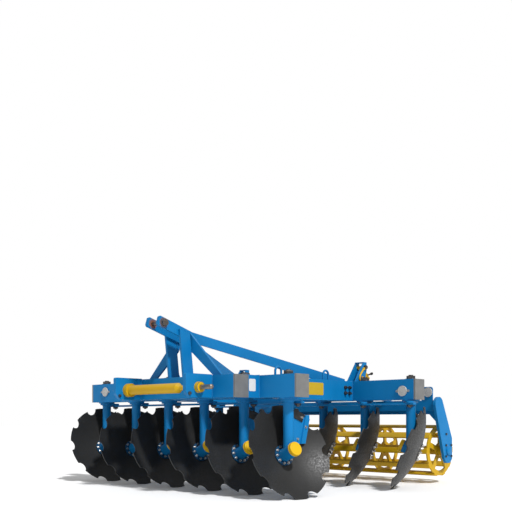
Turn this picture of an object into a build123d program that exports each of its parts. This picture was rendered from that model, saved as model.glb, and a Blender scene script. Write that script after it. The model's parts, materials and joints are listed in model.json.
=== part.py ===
from build123d import *
import os
from math import acos, atan2, cos, degrees, hypot, pi, radians, sin, tan

# Mounted two-row disc harrow with a cage roller, in millimetres.
# It is laid out with X = 0 on the hitch's centre plane, +X to the machine's left,
# -Y towards the tractor, Y = 0 on the front row of posts and Z = 0 on the ground.
# At the end the whole machine is moved so that its origin is the middle of its footprint.

# Rows of discs
DISCS_PER_ROW = 6
DISC_PITCH = 350.0
FRONT_ROW_CENTRE_X = -180.0
REAR_ROW_CENTRE_X = 60.0
ROW_DISTANCE = 910.0
FRONT_ATTACK = 10.0
REAR_ATTACK = 26.0
DISC_TILT = 21.5

# One notched disc
DISC_DIAMETER = 560.0
DISC_DISH_DEPTH = 75.0
DISC_THICKNESS = 6.0
NOTCH_COUNT = 10
NOTCH_RADIUS = 36.0
NOTCH_CENTRE_OUTSIDE_RIM = 4.0
DISC_BEHIND_POST = 52.0

# Hub between post and disc
HUB_FLANGE_DIAMETER = 122.0
HUB_FLANGE_THICKNESS = 12.0
HUB_DIAMETER = 78.0
HUB_FRONT_LENGTH = 52.0
HUB_SEAL_GAP = 1.0
AXLE_DIAMETER = 40.0
AXLE_TIP_LENGTH = 44.0
RUNNING_CLEARANCE = 0.08
CAP_DIAMETER = 80.0
CAP_LENGTH = 22.0
CAP_EDGE_RADIUS = 5.0

# Post, its pivot in the beam and its lever
POST_DIAMETER = 60.0
PIVOT_DIAMETER = 50.0
NUT_ACROSS_FLATS = 46.0
NUT_HEIGHT = 20.0
WASHER_THICKNESS = 3.0
SEAT_GAP = 0.3
LEVER_THICKNESS = 12.0
LEVER_RADIUS = 70.0
LEVER_HUB_DIAMETER = 92.0
LEVER_EYE_DIAMETER = 50.0
LINK_PIN_DIAMETER = 20.0
LINK_NUT_ACROSS_FLATS = 30.0
LINK_NUT_HEIGHT = 10.0
TIE_BAR_WIDTH = 34.0
TIE_BAR_THICKNESS = 12.0
TIE_BAR_OVERHANG = 35.0

# Scraper behind each post: a slanted arm and a blade that follows the disc's hollow face
SCRAPER_TURN = 16.0
SCRAPER_THICKNESS = 8.0
SCRAPER_ARM_START = 20.0
SCRAPER_TOP_Z = 452.0
SCRAPER_BOTTOM_Z = 300.0
SCRAPER_BLADE_WIDTH = 45.0
SCRAPER_BLADE_TOP_REACH = 205.0
SCRAPER_BLADE_FOOT_REACH = 158.0
SCRAPER_BLADE_OVERHANG = 14.0
SCRAPER_CLEARANCE = 8.0

# Frame of square tubes
BEAM_WIDTH = 110.0
BEAM_HEIGHT = 130.0
BEAM_BOTTOM_Z = 565.0
TUBE_WALL = 8.0
BUSHING_WALL = 10.0
END_CAP_THICKNESS = 12.0
FRONT_BEAM_OVERHANG = 105.0
REAR_BEAM_OVERHANG = 65.0
HITCH_BEAM_Y = -200.0
RAIL_WIDTH = 100.0
RAIL_OUTSIDE_X = 522.0
BEARING_PLATE_THICKNESS = 8.0
BEARING_PLATE_DIAMETER = 112.0

# Three-point headstock
MAST_PLATE_THICKNESS = 16.0
MAST_HALF_GAP = 42.0
MAST_UPRIGHT_WIDTH = 80.0
MAST_LEAN = 30.0
TOP_PIN_Y = -382.0
TOP_PIN_Z = 1010.0
TOP_PIN_DIAMETER = 25.0
TOP_PIN_OVERHANG = 22.0
FORK_NOSE_LENGTH = 42.0
FORK_CORNER = 9.0
FORK_BEND_Y = -160.0
FORK_BEND_Z = 942.0
FORK_HEIGHT = 60.0
MAST_UPRIGHT_OVERLAP = 36.0
LEG_Y = -170.0
LEG_SPREAD = 305.0
LEG_WIDTH = 70.0
LEG_THICKNESS = 14.0
LEG_TOP_Z = 965.0
BRACE_THICKNESS = 14.0
BRACE_REAR_X = 455.0
BRACE_REAR_TOP_Z = 712.0
HITCH_PLATE_X = 325.0
HITCH_PLATE_THICKNESS = 25.0
HITCH_PLATE_REACH = 200.0
HITCH_PLATE_ABOVE = 4.0
HITCH_PLATE_TOP_CORNER = 10.0
HITCH_PLATE_FOOT_CORNER = 32.0
LOWER_PIN_Y = -362.0
LOWER_PIN_Z = 622.0
LOWER_PIN_DIAMETER = 28.0
LOWER_PIN_LENGTH = 95.0
LOWER_PIN_TIP_TAPER = 7.0
LOWER_PIN_COLLAR_DIAMETER = 62.0
LOWER_PIN_COLLAR_LENGTH = 24.0
HITCH_TUBE_DIAMETER = 60.0
HITCH_TUBE_COLLAR_DIAMETER = 84.0
HITCH_TUBE_COLLAR_LENGTH = 34.0
HITCH_TUBE_TAPER_LENGTH = 18.0
HITCH_TUBE_END_X = 168.0

# Roller, its frame and its depth screws
ROLLER_Y = 1450.0
ROLLER_BOTTOM_Z = 45.0
ROLLER_DIAMETER = 360.0
ROLLER_CENTRE_X = -60.0
ROLLER_LENGTH = 1800.0
ROLLER_BAR_COUNT = 10
ROLLER_BAR_WIDTH = 30.0
ROLLER_BAR_THICKNESS = 12.0
ROLLER_DISC_COUNT = 5
ROLLER_DISC_THICKNESS = 10.0
ROLLER_RIM_WIDTH = 34.0
ROLLER_HUB_DIAMETER = 110.0
ROLLER_SPOKE_COUNT = 5
ROLLER_SPOKE_WIDTH = 34.0
ROLLER_TUBE_DIAMETER = 60.0
ROLLER_TUBE_END_GAP = 6.0
ROLLER_JOURNAL_DIAMETER = 35.0
ROLLER_JOURNAL_OVERHANG = 10.0
ROLLER_TO_ARM = 45.0
ARM_THICKNESS = 20.0
ARM_WIDTH = 104.0
ARM_TOP_Z = 594.0
ARM_FOOT_BELOW_AXLE = 85.0
ARM_FOOT_CORNER = 28.0
CROSS_TUBE_SIZE = 70.0
CROSS_TUBE_Y = 1324.0
CROSS_TUBE_Z = 536.0
CROSS_TUBE_WALL = 6.0
STRIP_HEIGHT = 25.0
STRIP_THICKNESS = 12.0
GUSSET_SIZE = 78.0
SIGN_PLATE_WIDTH = 84.0
SIGN_PLATE_HEIGHT = 92.0
SIGN_PLATE_THICKNESS = 8.0
SIGN_PLATE_CORNER = 18.0
SIGN_PLATE_INSET = 12.0
FRAME_PIVOT_Y = 1010.0
FRAME_PIVOT_Z = 630.0
FRAME_PIVOT_DIAMETER = 30.0
FRAME_PIVOT_OVERHANG = 6.0
PIVOT_ARM_THICKNESS = 20.0
PIVOT_ARM_RADIUS = 32.0
PIVOT_ARM_REAR_HEIGHT = 52.0
TOWER_SPREAD = 555.0
TOWER_PLATE_THICKNESS = 10.0
TOWER_HALF_GAP = 26.0
TOWER_FOOT_Y = 872.0
TOWER_BOTTOM_Z = 590.0
TOWER_BACK_TOP_Z = 672.0
TOWER_TOP_Y = 987.0
TOWER_TOP_Z = 795.0
TOWER_CAP_THICKNESS = 8.0
TOWER_TOP_MARGIN = 28.0
TOWER_BACK_MARGIN = 34.0
SCREW_PIN_DIAMETER = 20.0
SCREW_PIN_OVERHANG = 5.0
SCREW_LUG_Y = 1105.0
SCREW_LUG_Z = 680.0
SCREW_LUG_RADIUS = 20.0
SCREW_LUG_THICKNESS = 10.0
SCREW_LUG_FOOT = 56.0
BARREL_DIAMETER = 38.0
BARREL_LENGTH = 80.0
BARREL_BORE_START = 14.0
SCREW_DIAMETER = 22.0
SCREW_INSIDE_BARREL_START = 42.0
SCREW_EYE_RADIUS = 21.0
SCREW_EYE_THICKNESS = 24.0
SCREW_EYE_CLEARANCE = 2.0
SCREW_EYE_SIDE_GAP = 1.0

# Lifting eyes on the rails
EYE_ROD_DIAMETER = 14.0
EYE_INSIDE_RADIUS = 20.0
EYE_LEG_LENGTH = 36.0
EYE_PLACES_Y = (165.0, 630.0)

# Sizes that follow
BEAM_TOP_Z = BEAM_BOTTOM_Z + BEAM_HEIGHT
DISC_RADIUS = DISC_DIAMETER / 2
DISH_RADIUS = (DISC_RADIUS**2 + DISC_DISH_DEPTH**2) / (2 * DISC_DISH_DEPTH)
RIM_AHEAD_OF_POST = DISC_DISH_DEPTH - DISC_BEHIND_POST
HUB_Z = DISC_RADIUS * cos(radians(DISC_TILT)) - RIM_AHEAD_OF_POST * sin(radians(DISC_TILT))
ROW_HALF = DISC_PITCH * (DISCS_PER_ROW - 1) / 2
BEARING_BOTTOM_Z = BEAM_BOTTOM_Z - BEARING_PLATE_THICKNESS
LEVER_TOP_Z = BEARING_BOTTOM_Z - SEAT_GAP
LEVER_BOTTOM_Z = LEVER_TOP_Z - LEVER_THICKNESS
TIE_BAR_TOP_Z = LEVER_BOTTOM_Z - SEAT_GAP
TIE_BAR_BOTTOM_Z = TIE_BAR_TOP_Z - TIE_BAR_THICKNESS
PIVOT_BORE = PIVOT_DIAMETER + 2 * RUNNING_CLEARANCE
ROLLER_RADIUS = ROLLER_DIAMETER / 2
ROLLER_Z = ROLLER_BOTTOM_Z + ROLLER_RADIUS
LOW = (Align.CENTER, Align.CENTER, Align.MIN)
tower_places = (ROLLER_CENTRE_X + TOWER_SPREAD, ROLLER_CENTRE_X - TOWER_SPREAD)


def block(x_range, y_range, z_range):
    """A rectangular block between pairs of coordinates."""
    sizes = [high - low for low, high in (x_range, y_range, z_range)]
    middle = [(low + high) / 2 for low, high in (x_range, y_range, z_range)]
    return Pos(*middle) * Box(*sizes)


def rod(start, end, radius):
    """A round bar from one point to another."""
    start, end = Vector(*start), Vector(*end)
    return Plane(origin=start, z_dir=end - start) * Cylinder(radius, (end - start).length, align=LOW)


def around(centre, half):
    """The pair of coordinates at equal distances from a centre."""
    return (centre - half, centre + half)


def plate_yz(outline, x_range):
    """A plate whose outline, a closed sketch, is drawn with its X along Y and its Y along Z."""
    low, high = x_range
    return Plane.YZ.offset(low) * extrude(outline, high - low)


def hull_of_circles(circles):
    """The sketch of a link whose ends are round, from (centre_u, centre_v, radius) rows."""
    return make_hull((Sketch() + [Pos(u, v) * Circle(r) for u, v, r in circles]).edges())


def row_places(centre_x):
    """The X of each post in a row."""
    return [centre_x - ROW_HALF + DISC_PITCH * i for i in range(DISCS_PER_ROW)]


# The disc unit is drawn with its post on the Z axis and its hollow side towards +X.
hollow_side = Vector(cos(radians(DISC_TILT)), 0, sin(radians(DISC_TILT)))
hub_plane = Plane(origin=(0, 0, HUB_Z), x_dir=(0, 1, 0), z_dir=hollow_side)


def make_disc():
    """Notched dished disc with its bolted hub flange and the axle that turns in the hub."""
    z_apex = -DISC_BEHIND_POST
    outside = DISH_RADIUS + DISC_THICKNESS
    edge_drop = outside - (outside**2 - DISC_RADIUS**2) ** 0.5
    z_back = z_apex - DISC_THICKNESS
    inner_mid = DISH_RADIUS * (1 - cos(0.5 * DISC_RADIUS / DISH_RADIUS))
    inner_mid_r = DISH_RADIUS * sin(0.5 * DISC_RADIUS / DISH_RADIUS)
    outer_mid = outside * (1 - cos(0.5 * DISC_RADIUS / outside))
    outer_mid_r = outside * sin(0.5 * DISC_RADIUS / outside)
    profile = make_face(
        [
            ThreePointArc((0, z_apex), (inner_mid_r, z_apex + inner_mid), (DISC_RADIUS, z_apex + DISC_DISH_DEPTH)),
            Line((DISC_RADIUS, z_apex + DISC_DISH_DEPTH), (DISC_RADIUS, z_back + edge_drop)),
            ThreePointArc((DISC_RADIUS, z_back + edge_drop), (outer_mid_r, z_back + outer_mid), (0, z_back)),
            Line((0, z_back), (0, z_apex)),
        ]
    )
    dish = revolve(Plane.XZ * profile, Axis.Z)
    notch = Cylinder(NOTCH_RADIUS, 3 * DISC_DISH_DEPTH)
    notch_ring = PolarLocations(DISC_RADIUS + NOTCH_CENTRE_OUTSIDE_RIM, NOTCH_COUNT, start_angle=-90 + 180 / NOTCH_COUNT)
    dish -= notch_ring * notch
    flange = Pos(0, 0, z_back) * Cylinder(
        HUB_FLANGE_DIAMETER / 2, DISC_THICKNESS + HUB_FLANGE_THICKNESS, align=LOW)
    axle = Pos(0, 0, z_apex) * Cylinder(AXLE_DIAMETER / 2, -z_apex + AXLE_TIP_LENGTH, align=LOW)
    return hub_plane * (dish + flange + axle)


def make_post(lever_side):
    """Round post with its pivot shaft, lever, link pin, hub, cap and scraper."""
    hub_back = -DISC_BEHIND_POST + HUB_FLANGE_THICKNESS + HUB_SEAL_GAP
    hub = Pos(0, 0, hub_back) * Cylinder(HUB_DIAMETER / 2, HUB_FRONT_LENGTH - hub_back, align=LOW)
    cap = Pos(0, 0, HUB_FRONT_LENGTH) * Cylinder(CAP_DIAMETER / 2, CAP_LENGTH, align=LOW)
    cap = fillet(cap.edges().group_by(Axis.Z)[-1], CAP_EDGE_RADIUS)
    bore_depth = AXLE_TIP_LENGTH + HUB_SEAL_GAP - hub_back
    bore = Pos(0, 0, hub_back) * Cylinder(AXLE_DIAMETER / 2 + RUNNING_CLEARANCE, bore_depth, align=LOW)
    column = Pos(0, 0, HUB_Z) * Cylinder(POST_DIAMETER / 2, LEVER_BOTTOM_Z - HUB_Z, align=LOW)
    pivot_top = BEAM_TOP_Z + SEAT_GAP
    pivot = Pos(0, 0, LEVER_BOTTOM_Z) * Cylinder(PIVOT_DIAMETER / 2, pivot_top - LEVER_BOTTOM_Z, align=LOW)
    nut = Pos(0, 0, pivot_top) * extrude(RegularPolygon(NUT_ACROSS_FLATS / 2, 6, major_radius=False), NUT_HEIGHT)
    washer = Pos(0, 0, pivot_top) * Cylinder(PIVOT_BORE / 2 + BUSHING_WALL, WASHER_THICKNESS, align=LOW)
    lever_y = lever_side * LEVER_RADIUS
    lever_shape = hull_of_circles([(0, 0, LEVER_HUB_DIAMETER / 2), (0, lever_y, LEVER_EYE_DIAMETER / 2)])
    lever = Pos(0, 0, LEVER_BOTTOM_Z) * extrude(lever_shape, LEVER_THICKNESS)
    nut_top = TIE_BAR_BOTTOM_Z - SEAT_GAP
    pin = rod((0, lever_y, nut_top), (0, lever_y, LEVER_BOTTOM_Z), LINK_PIN_DIAMETER / 2)
    link_nut = RegularPolygon(LINK_NUT_ACROSS_FLATS / 2, 6, major_radius=False)
    link_nut = Pos(0, lever_y, nut_top - LINK_NUT_HEIGHT) * extrude(link_nut, LINK_NUT_HEIGHT)
    body = column + pivot + nut + washer + lever + pin + link_nut + hub_plane * (hub + cap) - hub_plane * bore
    return body + make_scraper()


def make_scraper():
    """Slanted arm behind the post, with a bolted blade whose edge follows the dish."""
    lean = (SCRAPER_BLADE_TOP_REACH - SCRAPER_BLADE_FOOT_REACH) / (SCRAPER_TOP_Z - SCRAPER_BOTTOM_Z)
    blade_top_z = SCRAPER_TOP_Z + SCRAPER_BLADE_OVERHANG
    top_reach = SCRAPER_BLADE_TOP_REACH + lean * SCRAPER_BLADE_OVERHANG
    arm_outline = make_face(Polyline(
        (SCRAPER_ARM_START, SCRAPER_BOTTOM_Z),
        (SCRAPER_BLADE_FOOT_REACH - SCRAPER_BLADE_WIDTH / 2, SCRAPER_BOTTOM_Z),
        (SCRAPER_BLADE_TOP_REACH - SCRAPER_BLADE_WIDTH / 2, SCRAPER_TOP_Z),
        (SCRAPER_ARM_START, SCRAPER_TOP_Z),
        close=True))
    blade_outline = make_face(Polyline(
        (SCRAPER_BLADE_FOOT_REACH - SCRAPER_BLADE_WIDTH, SCRAPER_BOTTOM_Z),
        (SCRAPER_BLADE_FOOT_REACH, SCRAPER_BOTTOM_Z),
        (top_reach, blade_top_z),
        (top_reach - SCRAPER_BLADE_WIDTH, blade_top_z),
        close=True))
    half = SCRAPER_THICKNESS / 2
    scraper = plate_yz(arm_outline, around(0, half)) + plate_yz(blade_outline, (half, half + SCRAPER_THICKNESS))
    dish_inside = hub_plane * Pos(0, 0, DISH_RADIUS - DISC_BEHIND_POST) * Sphere(DISH_RADIUS - SCRAPER_CLEARANCE)
    return Rot(0, 0, SCRAPER_TURN) * scraper & dish_inside


def make_tube(x_range, y_range, z_range, along, wall):
    """A rectangular tube with open ends."""
    ranges = [list(x_range), list(y_range), list(z_range)]
    inner = [[low + wall, high - wall] for low, high in ranges]
    axis = "XYZ".index(along)
    inner[axis] = [ranges[axis][0] - 1, ranges[axis][1] + 1]
    return block(*ranges) - block(*inner)


def make_disc_beam(centre_x, beam_y, overhang):
    """Beam over a row of posts, with a bushing through it and a thrust plate below at each post."""
    half = ROW_HALF + overhang - END_CAP_THICKNESS
    z_range = (BEAM_BOTTOM_Z, BEAM_TOP_Z)
    beam = make_tube(around(centre_x, half), around(beam_y, BEAM_WIDTH / 2), z_range, "X", TUBE_WALL)
    bushing = Pos(0, 0, BEAM_BOTTOM_Z) * Cylinder(PIVOT_BORE / 2 + BUSHING_WALL, BEAM_HEIGHT, align=LOW)
    thrust_plate = Cylinder(BEARING_PLATE_DIAMETER / 2, BEARING_PLATE_THICKNESS, align=LOW)
    bushing += Pos(0, 0, BEARING_BOTTOM_Z) * thrust_plate
    bore = Pos(0, 0, BEARING_BOTTOM_Z) * Cylinder(
        PIVOT_BORE / 2, BEAM_HEIGHT + BEARING_PLATE_THICKNESS, align=LOW)
    for x in row_places(centre_x):
        beam += Pos(x, beam_y, 0) * bushing
    for x in row_places(centre_x):
        beam -= Pos(x, beam_y, 0) * bore
    return beam


def make_end_caps():
    """Grey plates welded over the open ends of the three beams."""
    z_range = (BEAM_BOTTOM_Z, BEAM_TOP_Z)
    # centre_x, half length with caps, beam_y
    beams = [
        (FRONT_ROW_CENTRE_X, ROW_HALF + FRONT_BEAM_OVERHANG, 0.0),
        (REAR_ROW_CENTRE_X, ROW_HALF + REAR_BEAM_OVERHANG, ROW_DISTANCE),
        (0.0, RAIL_OUTSIDE_X, HITCH_BEAM_Y),
    ]
    caps = []
    for centre_x, half, beam_y in beams:
        for x_range in ((centre_x - half, centre_x - half + END_CAP_THICKNESS),
                        (centre_x + half - END_CAP_THICKNESS, centre_x + half)):
            caps.append(block(x_range, around(beam_y, BEAM_WIDTH / 2), z_range))
    return caps


def make_side_rails():
    """Two rails from the hitch beam to the rear beam, each in two lengths."""
    z_range = (BEAM_BOTTOM_Z, BEAM_TOP_Z)
    half = BEAM_WIDTH / 2
    stub = (HITCH_BEAM_Y + half, -half)
    long_run = (half, ROW_DISTANCE - half)
    rails = []
    for x_range in ((-RAIL_OUTSIDE_X, -RAIL_OUTSIDE_X + RAIL_WIDTH), (RAIL_OUTSIDE_X - RAIL_WIDTH, RAIL_OUTSIDE_X)):
        for y_range in (stub, long_run):
            rails.append(make_tube(x_range, y_range, z_range, "Y", TUBE_WALL))
    return rails


def make_mast_uprights():
    """Two flat uprights that lean forward from the hitch beam and overlap the fork's cheeks outside."""
    low_y, low_z = HITCH_BEAM_Y, BEAM_TOP_Z
    high_y = HITCH_BEAM_Y - MAST_LEAN
    half = MAST_UPRIGHT_WIDTH / 2
    outline = make_face(Polyline(
        (low_y - half, low_z),
        (low_y + half, low_z),
        (high_y + half, fork_underside_z(high_y + half) + MAST_UPRIGHT_OVERLAP),
        (high_y - half, fork_underside_z(high_y - half) + MAST_UPRIGHT_OVERLAP),
        close=True))
    inside = MAST_HALF_GAP + MAST_PLATE_THICKNESS
    plate = plate_yz(outline, (inside, inside + MAST_PLATE_THICKNESS))
    return [plate, mirror(plate, Plane.YZ)]


FORK_SLOPE = atan2(TOP_PIN_Z - FORK_BEND_Z, FORK_BEND_Y - TOP_PIN_Y)
BRACE_START_X = MAST_HALF_GAP + MAST_PLATE_THICKNESS / 2
BRACE_TURN = degrees(atan2(BRACE_REAR_X - BRACE_START_X, ROW_DISTANCE - BEAM_WIDTH / 2 - FORK_BEND_Y))


def fork_underside_z(y):
    """Height of the fork's lower edge at a distance along the machine."""
    return TOP_PIN_Z - tan(FORK_SLOPE) * (y - TOP_PIN_Y) - FORK_HEIGHT / 2 / cos(FORK_SLOPE)


def behind_mitre():
    """The space behind the plane where a fork cheek meets its brace."""
    corner = Pos(BRACE_START_X, FORK_BEND_Y, FORK_BEND_Z) * Rot(0, 0, -BRACE_TURN / 2)
    far = 2 * ROW_DISTANCE
    return corner * Box(far, far, far, align=(Align.CENTER, Align.MIN, Align.CENTER))


def make_fork():
    """The two cheeks that hold the top link's pin, cut at the mitre with the braces."""
    length = FORK_NOSE_LENGTH + hypot(FORK_BEND_Y - TOP_PIN_Y, TOP_PIN_Z - FORK_BEND_Z) + FORK_HEIGHT
    bar = Rectangle(length, FORK_HEIGHT, align=(Align.MIN, Align.CENTER))
    bar = chamfer(bar.vertices().sort_by(Axis.X)[0:2], FORK_CORNER)
    shape = Pos(TOP_PIN_Y, TOP_PIN_Z) * Rot(0, 0, -degrees(FORK_SLOPE)) * Pos(-FORK_NOSE_LENGTH, 0) * bar
    shape -= Pos(TOP_PIN_Y, TOP_PIN_Z) * Circle(TOP_PIN_DIAMETER / 2 + RUNNING_CLEARANCE)
    cheek = plate_yz(shape, (MAST_HALF_GAP, MAST_HALF_GAP + MAST_PLATE_THICKNESS)) - behind_mitre()
    return [cheek, mirror(cheek, Plane.YZ)]


def make_mast_legs():
    """Flat legs from the fork's cheeks out to the hitch beam."""
    inner_x = MAST_HALF_GAP + MAST_PLATE_THICKNESS
    rise = LEG_TOP_Z - BEAM_TOP_Z
    run = LEG_SPREAD - inner_x
    wide = LEG_WIDTH * hypot(rise, run) / run
    outline = make_face(Polyline(
        (inner_x, LEG_TOP_Z),
        (inner_x, LEG_TOP_Z - wide),
        (LEG_SPREAD - LEG_WIDTH / 2, BEAM_TOP_Z),
        (LEG_SPREAD + LEG_WIDTH / 2, BEAM_TOP_Z),
        close=True))
    leg = Pos(0, LEG_Y - LEG_THICKNESS / 2, 0) * (Plane.XZ * extrude(outline, -LEG_THICKNESS))
    return [leg, mirror(leg, Plane.YZ)]


def make_rear_braces():
    """Two bars that spread from the fork back to the rails."""
    end_y = ROW_DISTANCE - BEAM_WIDTH / 2
    half = FORK_HEIGHT / 2 / cos(FORK_SLOPE)
    start_top = FORK_BEND_Z + half
    length = hypot(BRACE_REAR_X - BRACE_START_X, end_y - FORK_BEND_Y)
    lead = -FORK_HEIGHT
    lead_rise = lead * (start_top - BRACE_REAR_TOP_Z) / length
    band = make_face(Polyline(
        (lead, start_top - lead_rise),
        (length, BRACE_REAR_TOP_Z),
        (length, BRACE_REAR_TOP_Z - 2 * half),
        (lead, start_top - lead_rise - 2 * half),
        close=True))
    floor = block((-length, length), (0, 2 * length), (BEAM_BOTTOM_Z, BEAM_TOP_Z))
    bar = plate_yz(band, around(0, BRACE_THICKNESS / 2))
    bar = Pos(BRACE_START_X, FORK_BEND_Y, 0) * Rot(0, 0, -BRACE_TURN) * bar
    bar = bar & behind_mitre()
    bar -= floor
    return [bar, mirror(bar, Plane.YZ)]


def make_hitch_plates():
    """Two thick cheeks in front of the hitch beam, which hold the lower pins."""
    back = HITCH_BEAM_Y - BEAM_WIDTH / 2
    front = back - HITCH_PLATE_REACH
    low, high = BEAM_BOTTOM_Z, BEAM_TOP_Z + HITCH_PLATE_ABOVE
    outline = make_face(Polyline(
        (front + HITCH_PLATE_FOOT_CORNER, low),
        (back, low),
        (back, high),
        (front, high),
        (front, low + HITCH_PLATE_FOOT_CORNER),
        close=True))
    top_corner = outline.vertices().group_by(Axis.Y)[-1].sort_by(Axis.X)[0]
    outline = fillet(top_corner, HITCH_PLATE_TOP_CORNER)
    outline -= Pos(LOWER_PIN_Y, LOWER_PIN_Z) * Circle(LOWER_PIN_DIAMETER / 2)
    plate = plate_yz(outline, around(HITCH_PLATE_X, HITCH_PLATE_THICKNESS / 2))
    return [plate, mirror(plate, Plane.YZ)]


def make_lower_pins():
    """Lower link pins, each through its cheek with a collar outside."""
    inner = HITCH_PLATE_X - HITCH_PLATE_THICKNESS / 2
    outer = HITCH_PLATE_X + HITCH_PLATE_THICKNESS / 2
    radius = LOWER_PIN_DIAMETER / 2
    tip = outer + LOWER_PIN_COLLAR_LENGTH + LOWER_PIN_LENGTH
    centre = (LOWER_PIN_Y, LOWER_PIN_Z)
    pin = rod((inner, *centre), (tip, *centre), radius)
    pin = chamfer(pin.edges().group_by(Axis.X)[-1], LOWER_PIN_TIP_TAPER)
    collar = rod((outer, *centre), (outer + LOWER_PIN_COLLAR_LENGTH, *centre), LOWER_PIN_COLLAR_DIAMETER / 2)
    pin += collar
    return [pin, mirror(pin, Plane.YZ)]


def make_hitch_tube():
    """Yellow tube between the cheeks, with a collar at one end and a taper at the other."""
    inner = HITCH_PLATE_X - HITCH_PLATE_THICKNESS / 2
    radius = HITCH_TUBE_DIAMETER / 2
    centre = (LOWER_PIN_Y, LOWER_PIN_Z)
    tube = rod((-inner, *centre), (HITCH_TUBE_END_X, *centre), radius)
    tube += rod((-inner, *centre), (-inner + HITCH_TUBE_COLLAR_LENGTH, *centre), HITCH_TUBE_COLLAR_DIAMETER / 2)
    taper_plane = Plane(origin=(HITCH_TUBE_END_X, *centre), z_dir=(1, 0, 0))
    tube += taper_plane * Cone(radius, LOWER_PIN_DIAMETER / 2, HITCH_TUBE_TAPER_LENGTH, align=LOW)
    tube += rod((HITCH_TUBE_END_X, *centre), (inner, *centre), LOWER_PIN_DIAMETER / 2)
    return tube


def make_top_pin():
    """Pin of the top link, with a head at one end."""
    outside = MAST_HALF_GAP + MAST_PLATE_THICKNESS
    centre = (TOP_PIN_Y, TOP_PIN_Z)
    pin = rod((-outside - TOP_PIN_OVERHANG, *centre), (outside + SEAT_GAP, *centre), TOP_PIN_DIAMETER / 2)
    head = rod((outside + SEAT_GAP, *centre), (outside + TOP_PIN_OVERHANG, *centre), 0.8 * TOP_PIN_DIAMETER)
    return pin + head


def make_tie_bar(centre_x, row_y, eye):
    """Flat bar that joins the levers of a row."""
    bar_x, bar_y = centre_x + eye[0], row_y + eye[1]
    bar = block(around(bar_x, ROW_HALF + TIE_BAR_OVERHANG), around(bar_y, TIE_BAR_WIDTH / 2),
                (TIE_BAR_BOTTOM_Z, TIE_BAR_TOP_Z))
    hole = Cylinder(LINK_PIN_DIAMETER / 2 + RUNNING_CLEARANCE, TIE_BAR_THICKNESS, align=LOW)
    for x in row_places(bar_x):
        bar -= Pos(x, bar_y, TIE_BAR_BOTTOM_Z) * hole
    return bar


def make_towers():
    """Towers of two plates and a cap on the rear beam: roller pivot behind it, screw anchor on top."""
    back = ROW_DISTANCE + BEAM_WIDTH / 2
    rear_edge = FRAME_PIVOT_Y + TOWER_BACK_MARGIN
    outline = make_face(Polyline(
        (back, TOWER_BOTTOM_Z),
        (rear_edge, TOWER_BOTTOM_Z),
        (rear_edge, TOWER_BACK_TOP_Z),
        (TOWER_TOP_Y + TOWER_TOP_MARGIN, TOWER_TOP_Z - TOWER_TOP_MARGIN),
        (TOWER_TOP_Y + TOWER_TOP_MARGIN, TOWER_TOP_Z + TOWER_TOP_MARGIN),
        (TOWER_TOP_Y - TOWER_TOP_MARGIN, TOWER_TOP_Z + TOWER_TOP_MARGIN),
        (TOWER_FOOT_Y, BEAM_TOP_Z),
        (back, BEAM_TOP_Z),
        close=True))
    outline -= Pos(FRAME_PIVOT_Y, FRAME_PIVOT_Z) * Circle(FRAME_PIVOT_DIAMETER / 2 + RUNNING_CLEARANCE)
    outline -= Pos(TOWER_TOP_Y, TOWER_TOP_Z) * Circle(SCREW_PIN_DIAMETER / 2 + RUNNING_CLEARANCE)
    cap_z = TOWER_TOP_Z + TOWER_TOP_MARGIN
    towers = []
    for x in tower_places:
        towers.append(block(
            around(x, TOWER_HALF_GAP + TOWER_PLATE_THICKNESS),
            around(TOWER_TOP_Y, TOWER_TOP_MARGIN),
            (cap_z, cap_z + TOWER_CAP_THICKNESS)))
        for inner in (-TOWER_HALF_GAP - TOWER_PLATE_THICKNESS, TOWER_HALF_GAP):
            towers.append(plate_yz(outline, (x + inner, x + inner + TOWER_PLATE_THICKNESS)))
    return towers


def make_pivot_arm(x):
    """Arm from a tower's pivot back to the cross tube, with the lugs and pin of a depth screw."""
    tube_top = CROSS_TUBE_Z + CROSS_TUBE_SIZE / 2
    rear = Pos(CROSS_TUBE_Y, tube_top + PIVOT_ARM_REAR_HEIGHT / 2) * Rectangle(CROSS_TUBE_SIZE, PIVOT_ARM_REAR_HEIGHT)
    nose = Pos(FRAME_PIVOT_Y, FRAME_PIVOT_Z) * Circle(PIVOT_ARM_RADIUS)
    arm = plate_yz(make_hull((Sketch() + [rear, nose]).edges()), around(x, PIVOT_ARM_THICKNESS / 2))
    pin_half = TOWER_HALF_GAP + TOWER_PLATE_THICKNESS + FRAME_PIVOT_OVERHANG
    arm += rod((x - pin_half, FRAME_PIVOT_Y, FRAME_PIVOT_Z), (x + pin_half, FRAME_PIVOT_Y, FRAME_PIVOT_Z),
               FRAME_PIVOT_DIAMETER / 2)
    foot = Pos(SCREW_LUG_Y, FRAME_PIVOT_Z) * Rectangle(SCREW_LUG_FOOT, PIVOT_ARM_RADIUS)
    eye = Pos(SCREW_LUG_Y, SCREW_LUG_Z) * Circle(SCREW_LUG_RADIUS)
    lug = make_hull((Sketch() + [foot, eye]).edges())
    inside = SCREW_EYE_THICKNESS / 2 + SCREW_EYE_SIDE_GAP
    outside = inside + SCREW_LUG_THICKNESS
    spacer = make_face((Sketch() + [foot]).edges())
    for low, high in ((-outside, -inside), (inside, outside)):
        arm += plate_yz(lug, (x + low, x + high))
    arm += plate_yz(spacer, (x - inside, x + inside))
    arm += rod((x - outside, SCREW_LUG_Y, SCREW_LUG_Z), (x + outside, SCREW_LUG_Y, SCREW_LUG_Z), SCREW_PIN_DIAMETER / 2)
    return arm


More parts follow.
